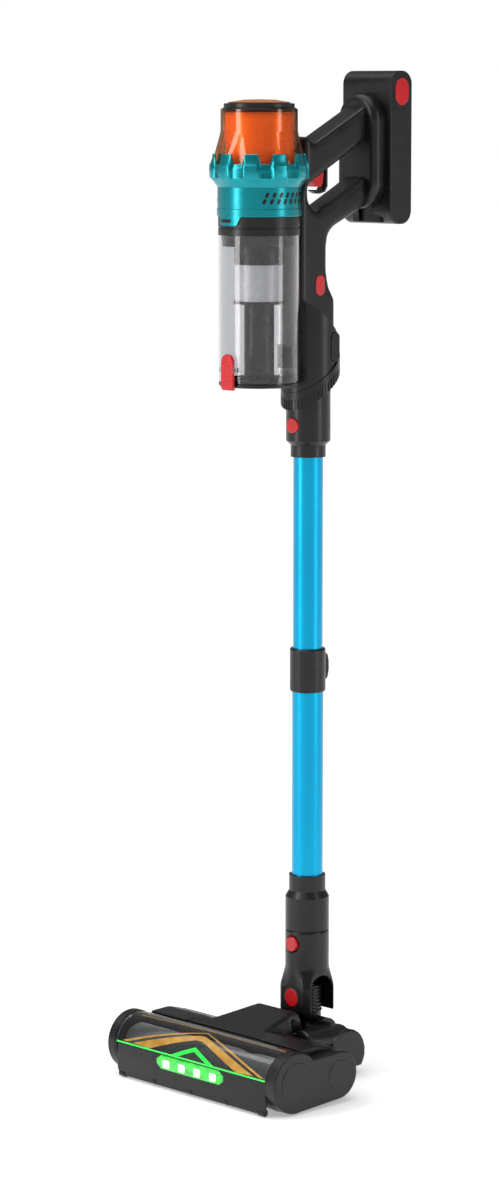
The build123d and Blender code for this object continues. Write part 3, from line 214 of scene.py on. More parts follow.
# ---- Red controls ---------------------------------------------------------------------------
# The press buttons, the neck's disc, the trigger and the flap latch are polished red ABS.
# A thin clear skin gives a sharp reflection over a slightly deeper red.
gloss_red, tree, shader = new_finish("gloss_red", (0.52, 0.004, 0.007), 0.25, coat=0.4)
tint(tree, shader, cloudy(tree, 0.02), (0.55, 0.004, 0.008), (0.62, 0.007, 0.011))
gloss(tree, shader, cloudy(tree, 0.003), 0.20, 0.30)
dress(gloss_red, "adapter_button", "neck_button", "swivel_pins", "trigger", "bin_release_button",
      "battery_button_left", "battery_button_right", "flap_latch")

# ---- Floor head shell -----------------------------------------------------------------------
# The cover, the fenders and the hinge bracket are moulded in the dark grey ABS of the wand's
# foot. Sole, duct and bumper are a shade blacker, with a coarser grain that hides scuffs.
dress(satin_grey, "head_cover", "pod_left", "pod_right", "hinge_bracket")
scuff_black = moulded("scuff_black", (0.0055, 0.0057, 0.0062), 0.34, grain_size=0.0009)
dress(scuff_black, "head_base", "front_bumper", "suction_duct")
cap_grey = moulded("cap_grey", (0.0080, 0.0082, 0.0088), 0.32)
dress(cap_grey, "end_cap_left", "end_cap_right")
WAND_Y = sum(corner.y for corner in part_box("lower_tube")) / 2


def shown(name, form, finish, soft_edges):
    """Turn a finished bmesh into an object with one finish, smooth between its sharp edges."""
    mesh = bpy.data.meshes.new(name)
    form.to_mesh(mesh)
    form.free()
    mesh.materials.append(finish)
    mesh.shade_smooth()
    mesh.set_sharp_from_angle(angle=radians(soft_edges))
    part = bpy.data.objects.new(name, mesh)
    scene.collection.objects.link(part)
    return part


def fit(name, form, finish, body, stands_for=(), soft_edges=35):
    """Turn a finished bmesh into a piece of the machine, riding on a body."""
    part = shown(name, form, finish, soft_edges)
    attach(part, body)
    if stands_for:
        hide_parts(*stands_for)


def lathe(profile, steps=72, turn=tau, centre=(0, 0, 0), axis="Z"):
    """Spin a (radius, height) outline into a closed solid about an upright or crosswise axis."""
    form = bmesh.new()
    ring = [form.verts.new((radius, 0, height)) for radius, height in profile]
    edges = [form.edges.new(pair) for pair in zip(ring, ring[1:] + ring[:1])]
    bmesh.ops.spin(form, geom=ring + edges, cent=(0, 0, 0), axis=(0, 0, 1), angle=turn, steps=steps,
                   use_merge=turn == tau)
    bmesh.ops.remove_doubles(form, verts=form.verts, dist=1e-6)
    bmesh.ops.recalc_face_normals(form, faces=form.faces)
    if axis == "X":
        bmesh.ops.rotate(form, verts=form.verts, cent=(0, 0, 0), matrix=Matrix.Rotation(pi / 2, 3, "Y"))
    if axis == "Y":
        bmesh.ops.rotate(form, verts=form.verts, cent=(0, 0, 0), matrix=Matrix.Rotation(-pi / 2, 3, "X"))
    bmesh.ops.translate(form, verts=form.verts, vec=centre)
    return form


# ---- End cap discs --------------------------------------------------------------------------
# Each end cap carries two low round bosses: the big one covers the roller's bearing, the
# small one the belt's far end. They are moulded on, half a millimetre proud.
ROLLER_Y, ROLLER_Z = -0.121, 0.0286
WINDOW_Z = 0.036
cap_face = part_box("end_cap_right")[1].x
for side, hand in ((1, "right"), (-1, "left")):
    for size, y, z, radius in (("big", ROLLER_Y, WINDOW_Z, 0.0228), ("small", -0.054, 0.0326, 0.0172)):
        boss = lathe([(0.0002, -0.0012), (radius, -0.0012), (radius, 0.0001), (radius - 0.0006, 0.0005),
                      (0.0002, 0.0005)], axis="X")
        bmesh.ops.holes_fill(boss, edges=boss.edges)
        if side < 0:
            bmesh.ops.rotate(boss, verts=boss.verts, cent=(0, 0, 0), matrix=Matrix.Rotation(pi, 3, "Z"))
        bmesh.ops.translate(boss, verts=boss.verts, vec=(side * cap_face, y, z))
        fit(f"{size}_cap_boss_{hand}", boss, cap_grey, "head", soft_edges=20)

# ---- Window ---------------------------------------------------------------------------------
# A clear polycarbonate window, bent round the brush chamber and faintly smoked. It lets the
# lamps through, so that the brush behind it is lit.


def clear(name, tone, rough=0.0, ior=1.46):
    """Clear plastic whose shadow is light: rays from the lamps pass straight through it."""
    finish, tree, shader = new_finish(name, tone, rough)
    shader.inputs["Transmission Weight"].default_value = 1
    shader.inputs["IOR"].default_value = ior
    tint(tree, shader, cloudy(tree, 0.03), [t * 0.98 for t in tone], tone)
    open_way = tree.nodes.new("ShaderNodeBsdfTransparent")
    open_way.inputs["Color"].default_value = (*(t ** 0.5 for t in tone), 1)
    path = tree.nodes.new("ShaderNodeLightPath")
    share = tree.nodes.new("ShaderNodeMixShader")
    tree.links.new(path.outputs["Is Shadow Ray"], share.inputs["Fac"])
    tree.links.new(shader.outputs["BSDF"], share.inputs[1])
    tree.links.new(open_way.outputs["BSDF"], share.inputs[2])
    tree.links.new(share.outputs["Shader"], tree.nodes["Material Output"].inputs["Surface"])
    return finish


window_clear = clear("window_clear", (0.86, 0.88, 0.88))
dress(window_clear, "front_window")

# ---- Window trim ----------------------------------------------------------------------------
# Gold chevrons printed on the window: one broad, one fine above it, and a hair line along the
# rear edge. A green light guide glows along the lower edge and as a small chevron.
WINDOW_R = 0.0337


def sliced(form, place, normal, **drop):
    """Cut every face of a form where a plane crosses it, and drop one side of it if asked."""
    bmesh.ops.bisect_plane(form, geom=form.verts[:] + form.edges[:] + form.faces[:], plane_co=place,
                           plane_no=normal, **drop)


def decal(outlines, radius, thickness):
    """Flat outlines of (x, degrees from the back) wrapped round the window's axis."""
    form = bmesh.new()
    for outline in outlines:
        form.faces.new([form.verts.new((x, radians(degree) * radius, 0)) for x, degree in outline])
    for degree in range(60, 180, 3):
        sliced(form, (0, radians(degree) * radius, 0), (0, 1, 0))
    for v in form.verts:
        turn = v.co.y / radius
        v.co = (v.co.x, ROLLER_Y + radius * cos(turn), WINDOW_Z + radius * sin(turn))
    bmesh.ops.recalc_face_normals(form, faces=form.faces)
    if sum(f.normal.z for f in form.faces) < 0:
        bmesh.ops.reverse_faces(form, faces=form.faces)
    bmesh.ops.solidify(form, geom=form.faces, thickness=-thickness)
    bmesh.ops.recalc_face_normals(form, faces=form.faces)
    return form


def both_sides(half, middle):
    """An outline and its mirror image about x = middle."""
    return [[(middle + x, degree) for x, degree in half],
            [(middle - x, degree) for x, degree in reversed(half)]]


gold_print, tree, shader = new_finish("gold_print", (0.62, 0.33, 0.055), 0.32, metal=0.35, coat=0.4)
tint(tree, shader, cloudy(tree, 0.012), (0.52, 0.26, 0.035), (0.74, 0.42, 0.09))
TRIM_X = 0.004
broad = [(0, 116), (0.005, 116.5), (0.097, 166.5), (0.070, 168.5), (0.006, 129), (0, 128.5)]
fine = [(0, 104), (0.114, 166), (0.106, 166.5), (0, 106.5)]
hair = [(-0.105, 101.5), (0.0, 93.5), (0.124, 96.2), (0.124, 97.6), (0.0, 95.6), (-0.105, 103.2)]
fit("gold_trim", decal(both_sides(broad, TRIM_X) + both_sides(fine, TRIM_X), WINDOW_R, 0.0001), gold_print,
    "head")
fit("gold_hair_line", decal([hair[:2] + hair[4:], hair[1:5]], WINDOW_R, 0.0001), gold_print, "head")


def glowing(name, tone, light, strength):
    """Lit plastic: its own colour and an even light of its own, with a gloss that wanders in a soft cloud."""
    finish, tree, shader = new_finish(name, tone, 0.25, coat=0.5)
    shader.inputs["Emission Color"].default_value = (*light, 1)
    shader.inputs["Emission Strength"].default_value = strength
    gloss(tree, shader, cloudy(tree, 0.004), 0.18, 0.32)
    return finish


green_glow = glowing("green_glow", (0.02, 0.5, 0.05), (0.02, 0.85, 0.06), 0.9)
guide = [(0, 143.5), (0.037, 171), (0.027, 171.3), (0, 152)]
lower_line = [(-0.1195, 168.9), (0.1195, 168.9), (0.1195, 171.8), (-0.1195, 171.8)]
faint_glow = glowing("faint_glow", (0.004, 0.10, 0.012), (0.01, 0.40, 0.03), 0.16)
end_arc = [(0.1285, 112), (0.1305, 112), (0.1305, 168), (0.1285, 168)]
fit("light_guide_ends", decal(both_sides(end_arc, 0), WINDOW_R, 0.0001), faint_glow, "head")
fit("light_guide", decal(both_sides(guide, TRIM_X) + [lower_line], WINDOW_R + 0.0001, 0.0001), green_glow,
    "head")

# ---- Front bumper ---------------------------------------------------------------------------
# A black strip across the front, with rounded lower corners and a rolled lower edge. Small
# feet under it slide on hard floors.
ACROSS = Matrix.Rotation(pi / 2, 3, "Y")
SET_BACK = 0.0012
CORNER_R = 0.010
FOOT_R = 0.0042


def block(form, size, centre, tilt=None):
    """Add a box of that size, tilted about its middle if asked; its corners."""
    made = bmesh.ops.create_cube(form, size=1)["verts"]
    bmesh.ops.scale(form, verts=made, vec=size)
    if tilt:
        bmesh.ops.rotate(form, verts=made, cent=(0, 0, 0), matrix=tilt)
    bmesh.ops.translate(form, verts=made, vec=centre)
    return made


def rod(form, near_r, far_r, length, lie, centre, segments=64, widen=1):
    """Add a round rod or cone, turned to its lie, with its middle at centre."""
    made = bmesh.ops.create_cone(form, cap_ends=True, segments=segments, radius1=near_r, radius2=far_r,
                                 depth=length)["verts"]
    bmesh.ops.rotate(form, verts=made, cent=(0, 0, 0), matrix=lie)
    bmesh.ops.scale(form, verts=made, vec=(widen, 1, 1))
    bmesh.ops.translate(form, verts=made, vec=centre)


def rounded(form, edges, radius, segments=3):
    """Round edges over."""
    bmesh.ops.bevel(form, geom=edges, offset=radius, segments=segments, profile=0.5, affect="EDGES", material=-1)


bump_low, bump_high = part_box("front_bumper")
bumper = bmesh.new()
block(bumper, bump_high - bump_low - Vector((0, SET_BACK, 0)),
      (bump_low + bump_high) / 2 + Vector((0, SET_BACK / 2, 0)))
lower = [e for e in bumper.edges if all(v.co.z < bump_low.z + 0.001 for v in e.verts)
         and abs(e.verts[0].co.x - e.verts[1].co.x) < 0.001]
rounded(bumper, lower, CORNER_R, 8)
front_rim = [e for e in bumper.edges if all(v.co.y < bump_low.y + SET_BACK + 0.0002 for v in e.verts)]
rounded(bumper, front_rim, 0.0010)
fit("bumper_strip", bumper, scuff_black, "head", stands_for=["front_bumper"])
feet = bmesh.new()
for x, wide, z in ((-0.112, 0.0085, 0.0050), (-0.058, 0.0035, 0.0062), (0.0, 0.0035, 0.0062),
                   (0.058, 0.0035, 0.0062), (0.112, 0.0085, 0.0050)):
    rod(feet, FOOT_R, FOOT_R, wide, ACROSS, (x, bump_high.y + 0.0012, z), segments=24)
fit("bumper_feet", feet, scuff_black, "head")

# ---- Light bar ------------------------------------------------------------------------------
# A long six-sided clear lens, dyed green and lit from inside, with four white lamps behind it.
# The lens is bevelled all round and snaps into the bumper's recess.
lens_low, lens_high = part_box("light_lens")
lens_glow, tree, shader = new_finish("lens_glow", (0.01, 0.30, 0.02), 0.12, coat=1.0)
shader.inputs["Emission Color"].default_value = (0.012, 0.62, 0.03, 1)
shader.inputs["Emission Strength"].default_value = 0.75
tint(tree, shader, cloudy(tree, 0.006, (0.5, 1, 1)), (0.0, 0.16, 0.01), (0.03, 0.55, 0.05), 0.35, 0.65)
LENS_TIP = 0.0075
LENS_END = 0.003
LENS_SET_BACK = 0.0003
LAMP_STEP = 0.025
mid_z = (lens_low.z + lens_high.z) / 2


def grown(form, faces, reach):
    """Extrude faces by a distance; the corners that moved."""
    made = bmesh.ops.extrude_face_region(form, geom=faces)["geom"]
    moved = [v for v in made if isinstance(v, bmesh.types.BMVert)]
    bmesh.ops.translate(form, verts=moved, vec=reach)
    return moved


lens = bmesh.new()
corners = [(lens_low.x, mid_z - LENS_END), (lens_low.x + LENS_TIP, lens_low.z), (lens_high.x - LENS_TIP, lens_low.z),
           (lens_high.x, mid_z - LENS_END), (lens_high.x, mid_z + LENS_END), (lens_high.x - LENS_TIP, lens_high.z),
           (lens_low.x + LENS_TIP, lens_high.z), (lens_low.x, mid_z + LENS_END)]
back = lens.faces.new([lens.verts.new((x, lens_high.y, z)) for x, z in corners])
grown(lens, [back], (0, lens_low.y - lens_high.y + LENS_SET_BACK, 0))
bmesh.ops.recalc_face_normals(lens, faces=lens.faces)
rounded(lens, [e for e in lens.edges if all(v.co.y < lens_low.y + 0.0008 for v in e.verts)], 0.0016)
fit("light_bar", lens, lens_glow, "head", stands_for=["light_lens"])

lamp_glow = glowing("lamp_glow", (0.9, 0.9, 0.9), (1, 1, 1), 1.6)
lamps = bmesh.new()
for number in range(4):
    block(lamps, (0.0098, 0.0012, 0.0084), (LAMP_STEP * (number - 1.5), lens_low.y + 0.0006, mid_z - 0.0012))
rounded(lamps, [e for e in lamps.edges if abs(e.verts[0].co.y - e.verts[1].co.y) > 0.001], 0.0014)
fit("white_lamps", lamps, lamp_glow, "head")

# ---- Brush roller ---------------------------------------------------------------------------
# A black core with a dense soft pile, woven in broad spirals that sweep dirt to the middle.
# The pile stands a little proud of the grooves between the spirals.
pile, tree, shader = new_finish("soft_pile", (0.022, 0.022, 0.024), 0.85)
shader.inputs["Sheen Weight"].default_value = 0.6
shader.inputs["Sheen Roughness"].default_value = 0.4
fibres = cloudy(tree, 0.0011, detail=4)
tint(tree, shader, fibres, (0.008, 0.008, 0.009), (0.055, 0.055, 0.06), 0.35, 0.65)
grain(tree, shader, fibres, 0.0006, 0.8)
pile_low, pile_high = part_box("roller_bristles")
pile_r = (pile_high.z - pile_low.z) / 2
CORE_R = 0.0171
SLICES = 64
GROOVES, GROOVE_DEPTH = 3, 0.0022
SPIRAL_LEAD = 0.045
roller = lathe([(CORE_R, pile_low.x), (pile_r, pile_low.x), (pile_r, pile_high.x), (CORE_R, pile_high.x)],
               steps=90, axis="X")
for number in range(1, SLICES):
    sliced(roller, (pile_low.x + (pile_high.x - pile_low.x) * number / SLICES, 0, 0), (1, 0, 0))
for v in roller.verts:
    out = Vector((v.co.y, v.co.z))
    if out.length > CORE_R + 0.001:
        turn = atan2(v.co.z, v.co.y) - abs(v.co.x) / SPIRAL_LEAD
        dip = GROOVE_DEPTH * max(0.0, cos(GROOVES * turn)) ** 3
        v.co.y, v.co.z = out * (1 - dip / out.length)
bmesh.ops.translate(roller, verts=roller.verts, vec=(0, ROLLER_Y, ROLLER_Z))
bmesh.ops.recalc_face_normals(roller, faces=roller.faces)
fit("roller_pile", roller, pile, "brush", stands_for=["roller_bristles"], soft_edges=60)

# ---- Hidden works of the head ---------------------------------------------------------------
# Roller core, drive motor in its steel can, nylon pulley, toothed belt, pins and screws.
# They show through the window's ends and from underneath.
bright_steel, tree, shader = new_finish("bright_steel", (0.52, 0.52, 0.54), 0.28, metal=1.0)
gloss(tree, shader, cloudy(tree, 0.002, (0.05, 1, 1)), 0.2, 0.4)
grain(tree, shader, cloudy(tree, 0.0007, (0.05, 1, 1)), 0.00002)
natural_nylon = moulded("natural_nylon", (0.62, 0.61, 0.56), 0.4)
belt_rubber = moulded("belt_rubber", (0.012, 0.012, 0.012), 0.75, grain_size=0.0004)
wheel_rubber = moulded("wheel_rubber", (0.014, 0.014, 0.015), 0.6, grain_size=0.0008, depth=0.00008)
deep_black = moulded("deep_black", (0.0050, 0.0051, 0.0055), 0.26, grain_size=0.004, depth=0.000004)
dress(bright_steel, "axles_and_bearings", "brush_motor", "head_screws", "frame_screws", "suction_motor")
dress(natural_nylon, "motor_pulley", "impeller")
dress(belt_rubber, "drive_belt")
dress(wheel_rubber, "rear_wheel_left", "rear_wheel_right", "front_roller_left", "front_roller_right")
dress(deep_black, "roller_core", "elbow", "neck_hose")

# ---- Rolled covers --------------------------------------------------------------------------
# The rear cover and the hinge bracket have thick rolled edges, drawn in one soft sweep over
# the machinery. The cover is a hollow moulding, closed at its two ends.
WALL = 0.0024


def soften(form, cell, passes):
    """Unite the overlapping solids of a form in cells of that size, then roll every edge over."""
    bmesh.ops.recalc_face_normals(form, faces=form.faces)
    rough_mesh = bpy.data.meshes.new("rough")
    form.to_mesh(rough_mesh)
    form.free()
    blank = bpy.data.objects.new("rough", rough_mesh)
    scene.collection.objects.link(blank)
    cells = blank.modifiers.new("cells", "REMESH")
    cells.mode = "VOXEL"
    cells.voxel_size = cell
    united = bpy.data.meshes.new_from_object(blank.evaluated_get(bpy.context.evaluated_depsgraph_get()))
    bpy.data.objects.remove(blank)
    form = bmesh.new()
    form.from_mesh(united)
    bpy.data.meshes.remove(united)
    for _ in range(passes):
        bmesh.ops.smooth_vert(form, verts=form.verts, factor=0.5, use_axis_x=True, use_axis_y=True,
                              use_axis_z=True)
    return form


def rolled(name, node, finish, body, cell, passes, end_walls=False):
    """The same moulding as a CAD node, with its edges rolled over, and its two ends closed if asked."""
    form = bmesh.new()
    form.from_mesh(nodes[node].data)
    bmesh.ops.remove_doubles(form, verts=form.verts, dist=1e-6)
    low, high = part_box(node)
    for end, inner in ((low.x, low.x + WALL), (high.x, high.x - WALL)) if end_walls else ():
        rim = [v.co.copy() for v in form.verts if abs(v.co.x - end) < 0.0005]
        wall = [form.verts.new((x, point.y, point.z)) for point in rim for x in (end, inner)]
        hull = bmesh.ops.convex_hull(form, input=wall)
        bmesh.ops.delete(form, geom=hull["geom_interior"], context="VERTS")
    fit(name, soften(form, cell, passes), finish, body, stands_for=[node], soft_edges=60)


rolled("rolled_cover", "head_cover", satin_grey, "head", 0.0012, 10, end_walls=True)
rolled("rolled_bracket", "hinge_bracket", satin_grey, "head", 0.0011, 4)

# ---- Window seal ----------------------------------------------------------------------------
# A soft lip closes the joint between the window's rear edge and the cover, all across the head.
cover_low, cover_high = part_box("head_cover")
seal = bmesh.new()
for y, z, radius in ((-0.1035, 0.0640, 0.0016), (-0.1010, 0.0634, 0.0018), (-0.0982, 0.0630, 0.0018)):
    rod(seal, radius, radius, cover_high.x - cover_low.x - 0.001, ACROSS, (0, y, z), segments=20)
fit("window_seal", seal, scuff_black, "head")

# ---- Wheel fenders --------------------------------------------------------------------------
# A round fender wraps each rear wheel and runs forward to the deck as a tapering arm. It is
# hollowed out, so that the wheel turns free inside it and shows only near the floor.


def hollowed(form, cutter):
    """The form with the cutter's space taken out of it."""
    held = []
    for shape in (form, cutter):
        mesh = bpy.data.meshes.new("cut")
        shape.to_mesh(mesh)
        shape.free()
        held.append(bpy.data.objects.new("cut", mesh))
        scene.collection.objects.link(held[-1])
    cut = held[0].modifiers.new("cut", "BOOLEAN")
    cut.operation, cut.solver, cut.object = "DIFFERENCE", "EXACT", held[1]
    result = bpy.data.meshes.new_from_object(held[0].evaluated_get(bpy.context.evaluated_depsgraph_get()))
    form = bmesh.new()
    form.from_mesh(result)
    for spare in held:
        bpy.data.objects.remove(spare)
    return form


wheel_low, wheel_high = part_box("rear_wheel_right")
wheel_y, wheel_r = (wheel_low.y + wheel_high.y) / 2, (wheel_high.z - wheel_low.z) / 2
WELL_GAP = 0.0013
FENDER_FOOT = 0.009
ARM_SLOPE = radians(5)
for side, hand in ((1, "right"), (-1, "left")):
    lie = Matrix.Rotation(side * pi / 2, 3, "Y")
    fender = bmesh.new()
    rod(fender, wheel_r + 0.0035, wheel_r + 0.0055, 0.0245, lie, (side * 0.0518, wheel_y, wheel_r + 0.0035))
    sliced(fender, (0, 0, FENDER_FOOT), (0, 0, 1), clear_inner=True)
    bmesh.ops.holes_fill(fender, edges=[e for e in fender.edges if e.is_boundary])
    rod(fender, 0.0135, 0.0105, 0.062, Matrix.Rotation(pi / 2 - ARM_SLOPE, 3, "X"),
        (side * 0.0475, wheel_y - 0.027, 0.0475), segments=48, widen=1.25)
    well = bmesh.new()
    rod(well, wheel_r + WELL_GAP, wheel_r + WELL_GAP, wheel_high.x - wheel_low.x + 0.0024, lie,
        (side * (wheel_low.x + wheel_high.x) / 2, wheel_y, wheel_r))
    fit(f"wheel_fender_{hand}", hollowed(soften(fender, 0.0011, 14), well), satin_grey, "head",
        stands_for=[f"pod_{hand}"], soft_edges=40)

# ---- Neck yoke ------------------------------------------------------------------------------
# The yoke turns on two pins and carries the wand's foot. It is moulded with two heavy cheeks,
# front and back, and an open arch on each side where the hose shows.
rolled("rolled_yoke", "neck_yoke", satin_grey, "neck", 0.0010, 12)
panel = bmesh.new()
panel_face = [(-0.0150, 0.076), (-0.0120, 0.0715), (0.0120, 0.0715), (0.0150, 0.076), (0.0165, 0.092), (0.0120, 0.1015),
              (-0.0120, 0.1015), (-0.0165, 0.092)]
PANEL_BACK, PANEL_DEPTH = 0.0135, 0.0089
flat = panel.faces.new([panel.verts.new((x, PANEL_BACK, z)) for x, z in panel_face])
grown(panel, [flat], (0, -PANEL_DEPTH, 0))
bmesh.ops.recalc_face_normals(panel, faces=panel.faces)
rounded(panel, [e for e in panel.edges if all(v.co.y < 0.005 for v in e.verts)], 0.0014)
fit("yoke_panel", panel, cap_grey, "neck")

# ---- Neck hose ------------------------------------------------------------------------------
# A black corrugated hose runs back from the duct and turns up into the neck. A ribbed sleeve
# covers the stem that holds it, and shows through the arches.
hose_low, hose_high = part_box("neck_hose")
HOSE_R = (hose_high.x - hose_low.x) / 2
HOSE_TOP = 0.104
BEND_R = 0.018
RIB = 0.0042
duct_z = hose_low.z + HOSE_R
run_in = WAND_Y - BEND_R - hose_low.y
quarter = BEND_R * pi / 2


def hose_ring(form, radius, reach, steps=48):
    """A ring round the hose's line, at a distance from the duct."""
    angle = min(max((reach - run_in) / BEND_R, 0.0), pi / 2)
    y = hose_low.y + min(reach, run_in) + BEND_R * sin(angle)
    z = duct_z + BEND_R * (1 - cos(angle)) + max(reach - run_in - quarter, 0.0)
    turns = [tau * step / steps for step in range(steps)]
    return [form.verts.new((radius * cos(turn), y - radius * sin(turn) * sin(angle),
                            z + radius * sin(turn) * cos(angle))) for turn in turns]


def ribbed(radius, low, high, depth):
    """A (radius, place) outline of round ribs between two places."""
    outline = []
    for number in range(int((high - low) / RIB)):
        base = low + number * RIB
        outline += [(radius - depth, base), (radius - 0.0003, base + 0.0009), (radius, base + 0.0018),
                    (radius - 0.0003, base + 0.0027), (radius - depth, base + 0.0036)]
    return outline


hose = bmesh.new()
hose_length = run_in + quarter + HOSE_TOP - duct_z - BEND_R
rings = [hose_ring(hose, radius, reach) for radius, reach in ribbed(HOSE_R, 0, hose_length, 0.0022)]
for near, far in zip(rings, rings[1:]):
    for a, b, c, d in zip(near, near[1:] + near[:1], far[1:] + far[:1], far):
        hose.faces.new((a, b, c, d))
hose.faces.new(rings[0])
hose.faces.new(rings[-1])
bmesh.ops.recalc_face_normals(hose, faces=hose.faces)
ribbed_hose = shown("ribbed_hose", hose, deep_black, 60)
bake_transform(ribbed_hose)
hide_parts("neck_hose")

SLEEVE_R, STEM_R = 0.0176, 0.0160
SLEEVE_LOW, SLEEVE_HIGH = 0.0665, 0.0960
SLEEVE_SQUEEZE = 0.962
sleeve_outline = [(STEM_R, SLEEVE_LOW)] + ribbed(SLEEVE_R, SLEEVE_LOW, SLEEVE_HIGH, 0.0014) + [(STEM_R, 0.0949)]
sleeve = lathe(sleeve_outline, steps=64, centre=(0, WAND_Y, 0))
bmesh.ops.scale(sleeve, verts=sleeve.verts, vec=(1, SLEEVE_SQUEEZE, 1), space=Matrix.Translation((0, -WAND_Y, 0)))
fit("stem_sleeve", sleeve, deep_black, "elbow", soft_edges=60)

# ---- Hand unit ------------------------------------------------------------------------------
# The inlet barrel and the two halves of the grip frame are satin grey ABS, screwed together.
# The grip ring at the seam has coarse black teeth, for the fingers that turn it.
dress(satin_grey, "inlet_barrel", "frame_left", "frame_right", "dock_plate", "battery_case", "bin_collar")
dress(deep_black, "toothed_ring", "side_button", "cyclone", "bin_flap")

# ---- Bin and mesh ---------------------------------------------------------------------------
# A straight clear bin in faintly smoked polycarbonate, with a black flap under it.
# Inside stand the black cyclone top, a fine steel mesh and the centre column.
smoke_clear = clear("smoke_clear", (0.70, 0.705, 0.715))
dress(smoke_clear, "dust_bin")
steel_mesh, tree, shader = new_finish("steel_mesh", (0.62, 0.62, 0.62), 0.38, metal=0.2)
place = tree.nodes.new("ShaderNodeTexCoord")
weave = tree.nodes.new("ShaderNodeTexVoronoi")
weave.inputs["Scale"].default_value = 1100
tree.links.new(place.outputs["Object"], weave.inputs["Vector"])
tint(tree, shader, weave.outputs["Distance"], (0.88, 0.88, 0.89), (0.45, 0.45, 0.46), 0.25, 0.75)
grain(tree, shader, weave.outputs["Distance"], 0.0001, 0.5)
dress(steel_mesh, "mesh_screen")

# ---- Motor housing --------------------------------------------------------------------------
# Pearl teal ABS, with fine flakes in the paint and a clear skin over them. A low band and a
# tab at the front lock it on the bin's collar, and slanted vents let the air out. The vents and
# the tab's slot are black pieces: painted shade for the dark hollows behind them.
pearl_teal, tree, shader = new_finish("pearl_teal", (0.0, 0.30, 0.345), 0.28, metal=0.75, coat=0.2)
tint(tree, shader, cloudy(tree, 0.0006, detail=1), (0.0, 0.23, 0.27), (0.006, 0.33, 0.375))
gloss(tree, shader, cloudy(tree, 0.0008, detail=1), 0.22, 0.36)
dress(pearl_teal, "motor_housing", "crown")
housing_low, housing_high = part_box("motor_housing")
BIN_Y = (housing_low.y + housing_high.y) / 2
HOUSING_R = (housing_high.x - housing_low.x) / 2
band = lathe([(HOUSING_R - 0.001, housing_low.z + 0.0006), (HOUSING_R + 0.0002, housing_low.z + 0.0006),
              (HOUSING_R + 0.0007, housing_low.z + 0.0012), (HOUSING_R + 0.0007, housing_low.z + 0.0084),
              (HOUSING_R, housing_low.z + 0.0090), (HOUSING_R - 0.001, housing_low.z + 0.0090)],
             steps=96, centre=(0, BIN_Y, 0))
fit("housing_band", band, pearl_teal, "hand_unit")


def curved_plate(outline, centre, radius, depth):
    """Plate of (degrees, height) corners bent round an upright axis, of that depth inwards."""
    form = bmesh.new()
    form.faces.new([form.verts.new((radians(turn) * radius, 0, height)) for turn, height in outline])
    first = min(turn for turn, _ in outline)
    last = max(turn for turn, _ in outline)
    for turn in range(int(first) + 1, int(last) + 1, 3):
        sliced(form, (radians(turn) * radius, 0, 0), (1, 0, 0))
    deep = grown(form, form.faces[:], (0, 0, 0))
    for v in form.verts:
        turn, reach = v.co.x / radius, radius - (depth if v in deep else 0)
        v.co = (centre[0] + reach * cos(turn), centre[1] + reach * sin(turn), v.co.z)
    bmesh.ops.recalc_face_normals(form, faces=form.faces)
    return form


tab_z = housing_low.z
tab = curved_plate([(-111, tab_z + 0.003), (-111, tab_z - 0.006), (-109, tab_z - 0.0085), (-105, tab_z - 0.0095),
                    (-80, tab_z - 0.0095), (-76, tab_z - 0.0080), (-71, tab_z - 0.0008), (-67, tab_z + 0.001),
                    (-67, tab_z + 0.003)], (0, BIN_Y), HOUSING_R + 0.0009, 0.0016)
fit("lock_tab", tab, pearl_teal, "hand_unit")
# The tab's slot is a thin black plate on the tab's face: painted shade for the hollow of the slot.
slot_shade = curved_plate([(-107, tab_z - 0.0040), (-105, tab_z - 0.0058), (-87, tab_z - 0.0058), (-85, tab_z - 0.0040),
                    (-87, tab_z - 0.0022), (-105, tab_z - 0.0022)], (0, BIN_Y), HOUSING_R + 0.0011, 0.0006)
fit("lock_tab_slot_shade", slot_shade, deep_black, "hand_unit")

VENT_Z = housing_low.z + 0.0205
VENT_ROW = 0.0034
VENT_STEP = 10.5
# Black blocks set in the vent openings, a little proud of the wall: painted shade for the dark inside of each vent.
vent_shade = bmesh.new()
for side in (0, 180):
    for number in range(8):
        for row in (-1, 1):
            made = block(vent_shade, (0.0012, 0.0032, 0.0062), (HOUSING_R - 0.0003, 0, VENT_Z + VENT_ROW * row),
                         tilt=Matrix.Rotation(radians(-30), 3, "X"))
            turn = side + 1.5 + (number - 3.5) * VENT_STEP + (1 if side == 0 else -1) * 1.9 * row
            bmesh.ops.rotate(vent_shade, verts=made, cent=(0, 0, 0), matrix=Matrix.Rotation(radians(turn), 3, "Z"))
bmesh.ops.translate(vent_shade, verts=vent_shade.verts, vec=(0, BIN_Y, 0))
rounded(vent_shade, [e for e in vent_shade.edges if e.calc_length() < 0.0013], 0.0013)
fit("vent_shade_blocks", vent_shade, deep_black, "hand_unit")

# ---- Crown ----------------------------------------------------------------------------------
# Ten lugs round the housing's top are the grip for twisting the cap. Each valley between them
# runs down the side as a flute, and the lugs are chamfered above and below.
POINTS = 10
crown_low, crown_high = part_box("crown")
crown_r = (crown_high.x - crown_low.x) / 2
inner_r, seat_r = HOUSING_R - 0.0025, crown_r - 0.0057
LUG_FOOT, LUG_DROP = 0.0185, 0.62
FLUTE_FOOT, FLUTE_DEPTH = 0.005, 0.72
outer = [(HOUSING_R + 0.0003, 0.0001), (HOUSING_R + 0.0022, 0.0028), (crown_r - 0.0035, 0.0072),
         (crown_r - 0.0005, 0.0100), (crown_r, 0.0112), (crown_r, 0.0175), (crown_r, 0.0235),
         (crown_r - 0.0008, 0.0250), (crown_r - 0.0030, 0.0305), (seat_r + 0.0020, 0.0352),
         (seat_r + 0.0012, 0.0360), (seat_r, 0.0360)]
inner = [(seat_r, 0.0190), (inner_r, 0.0190), (inner_r, 0.0001)]
crown_form = lathe([(r, crown_low.z + h) for r, h in outer + inner], steps=240)
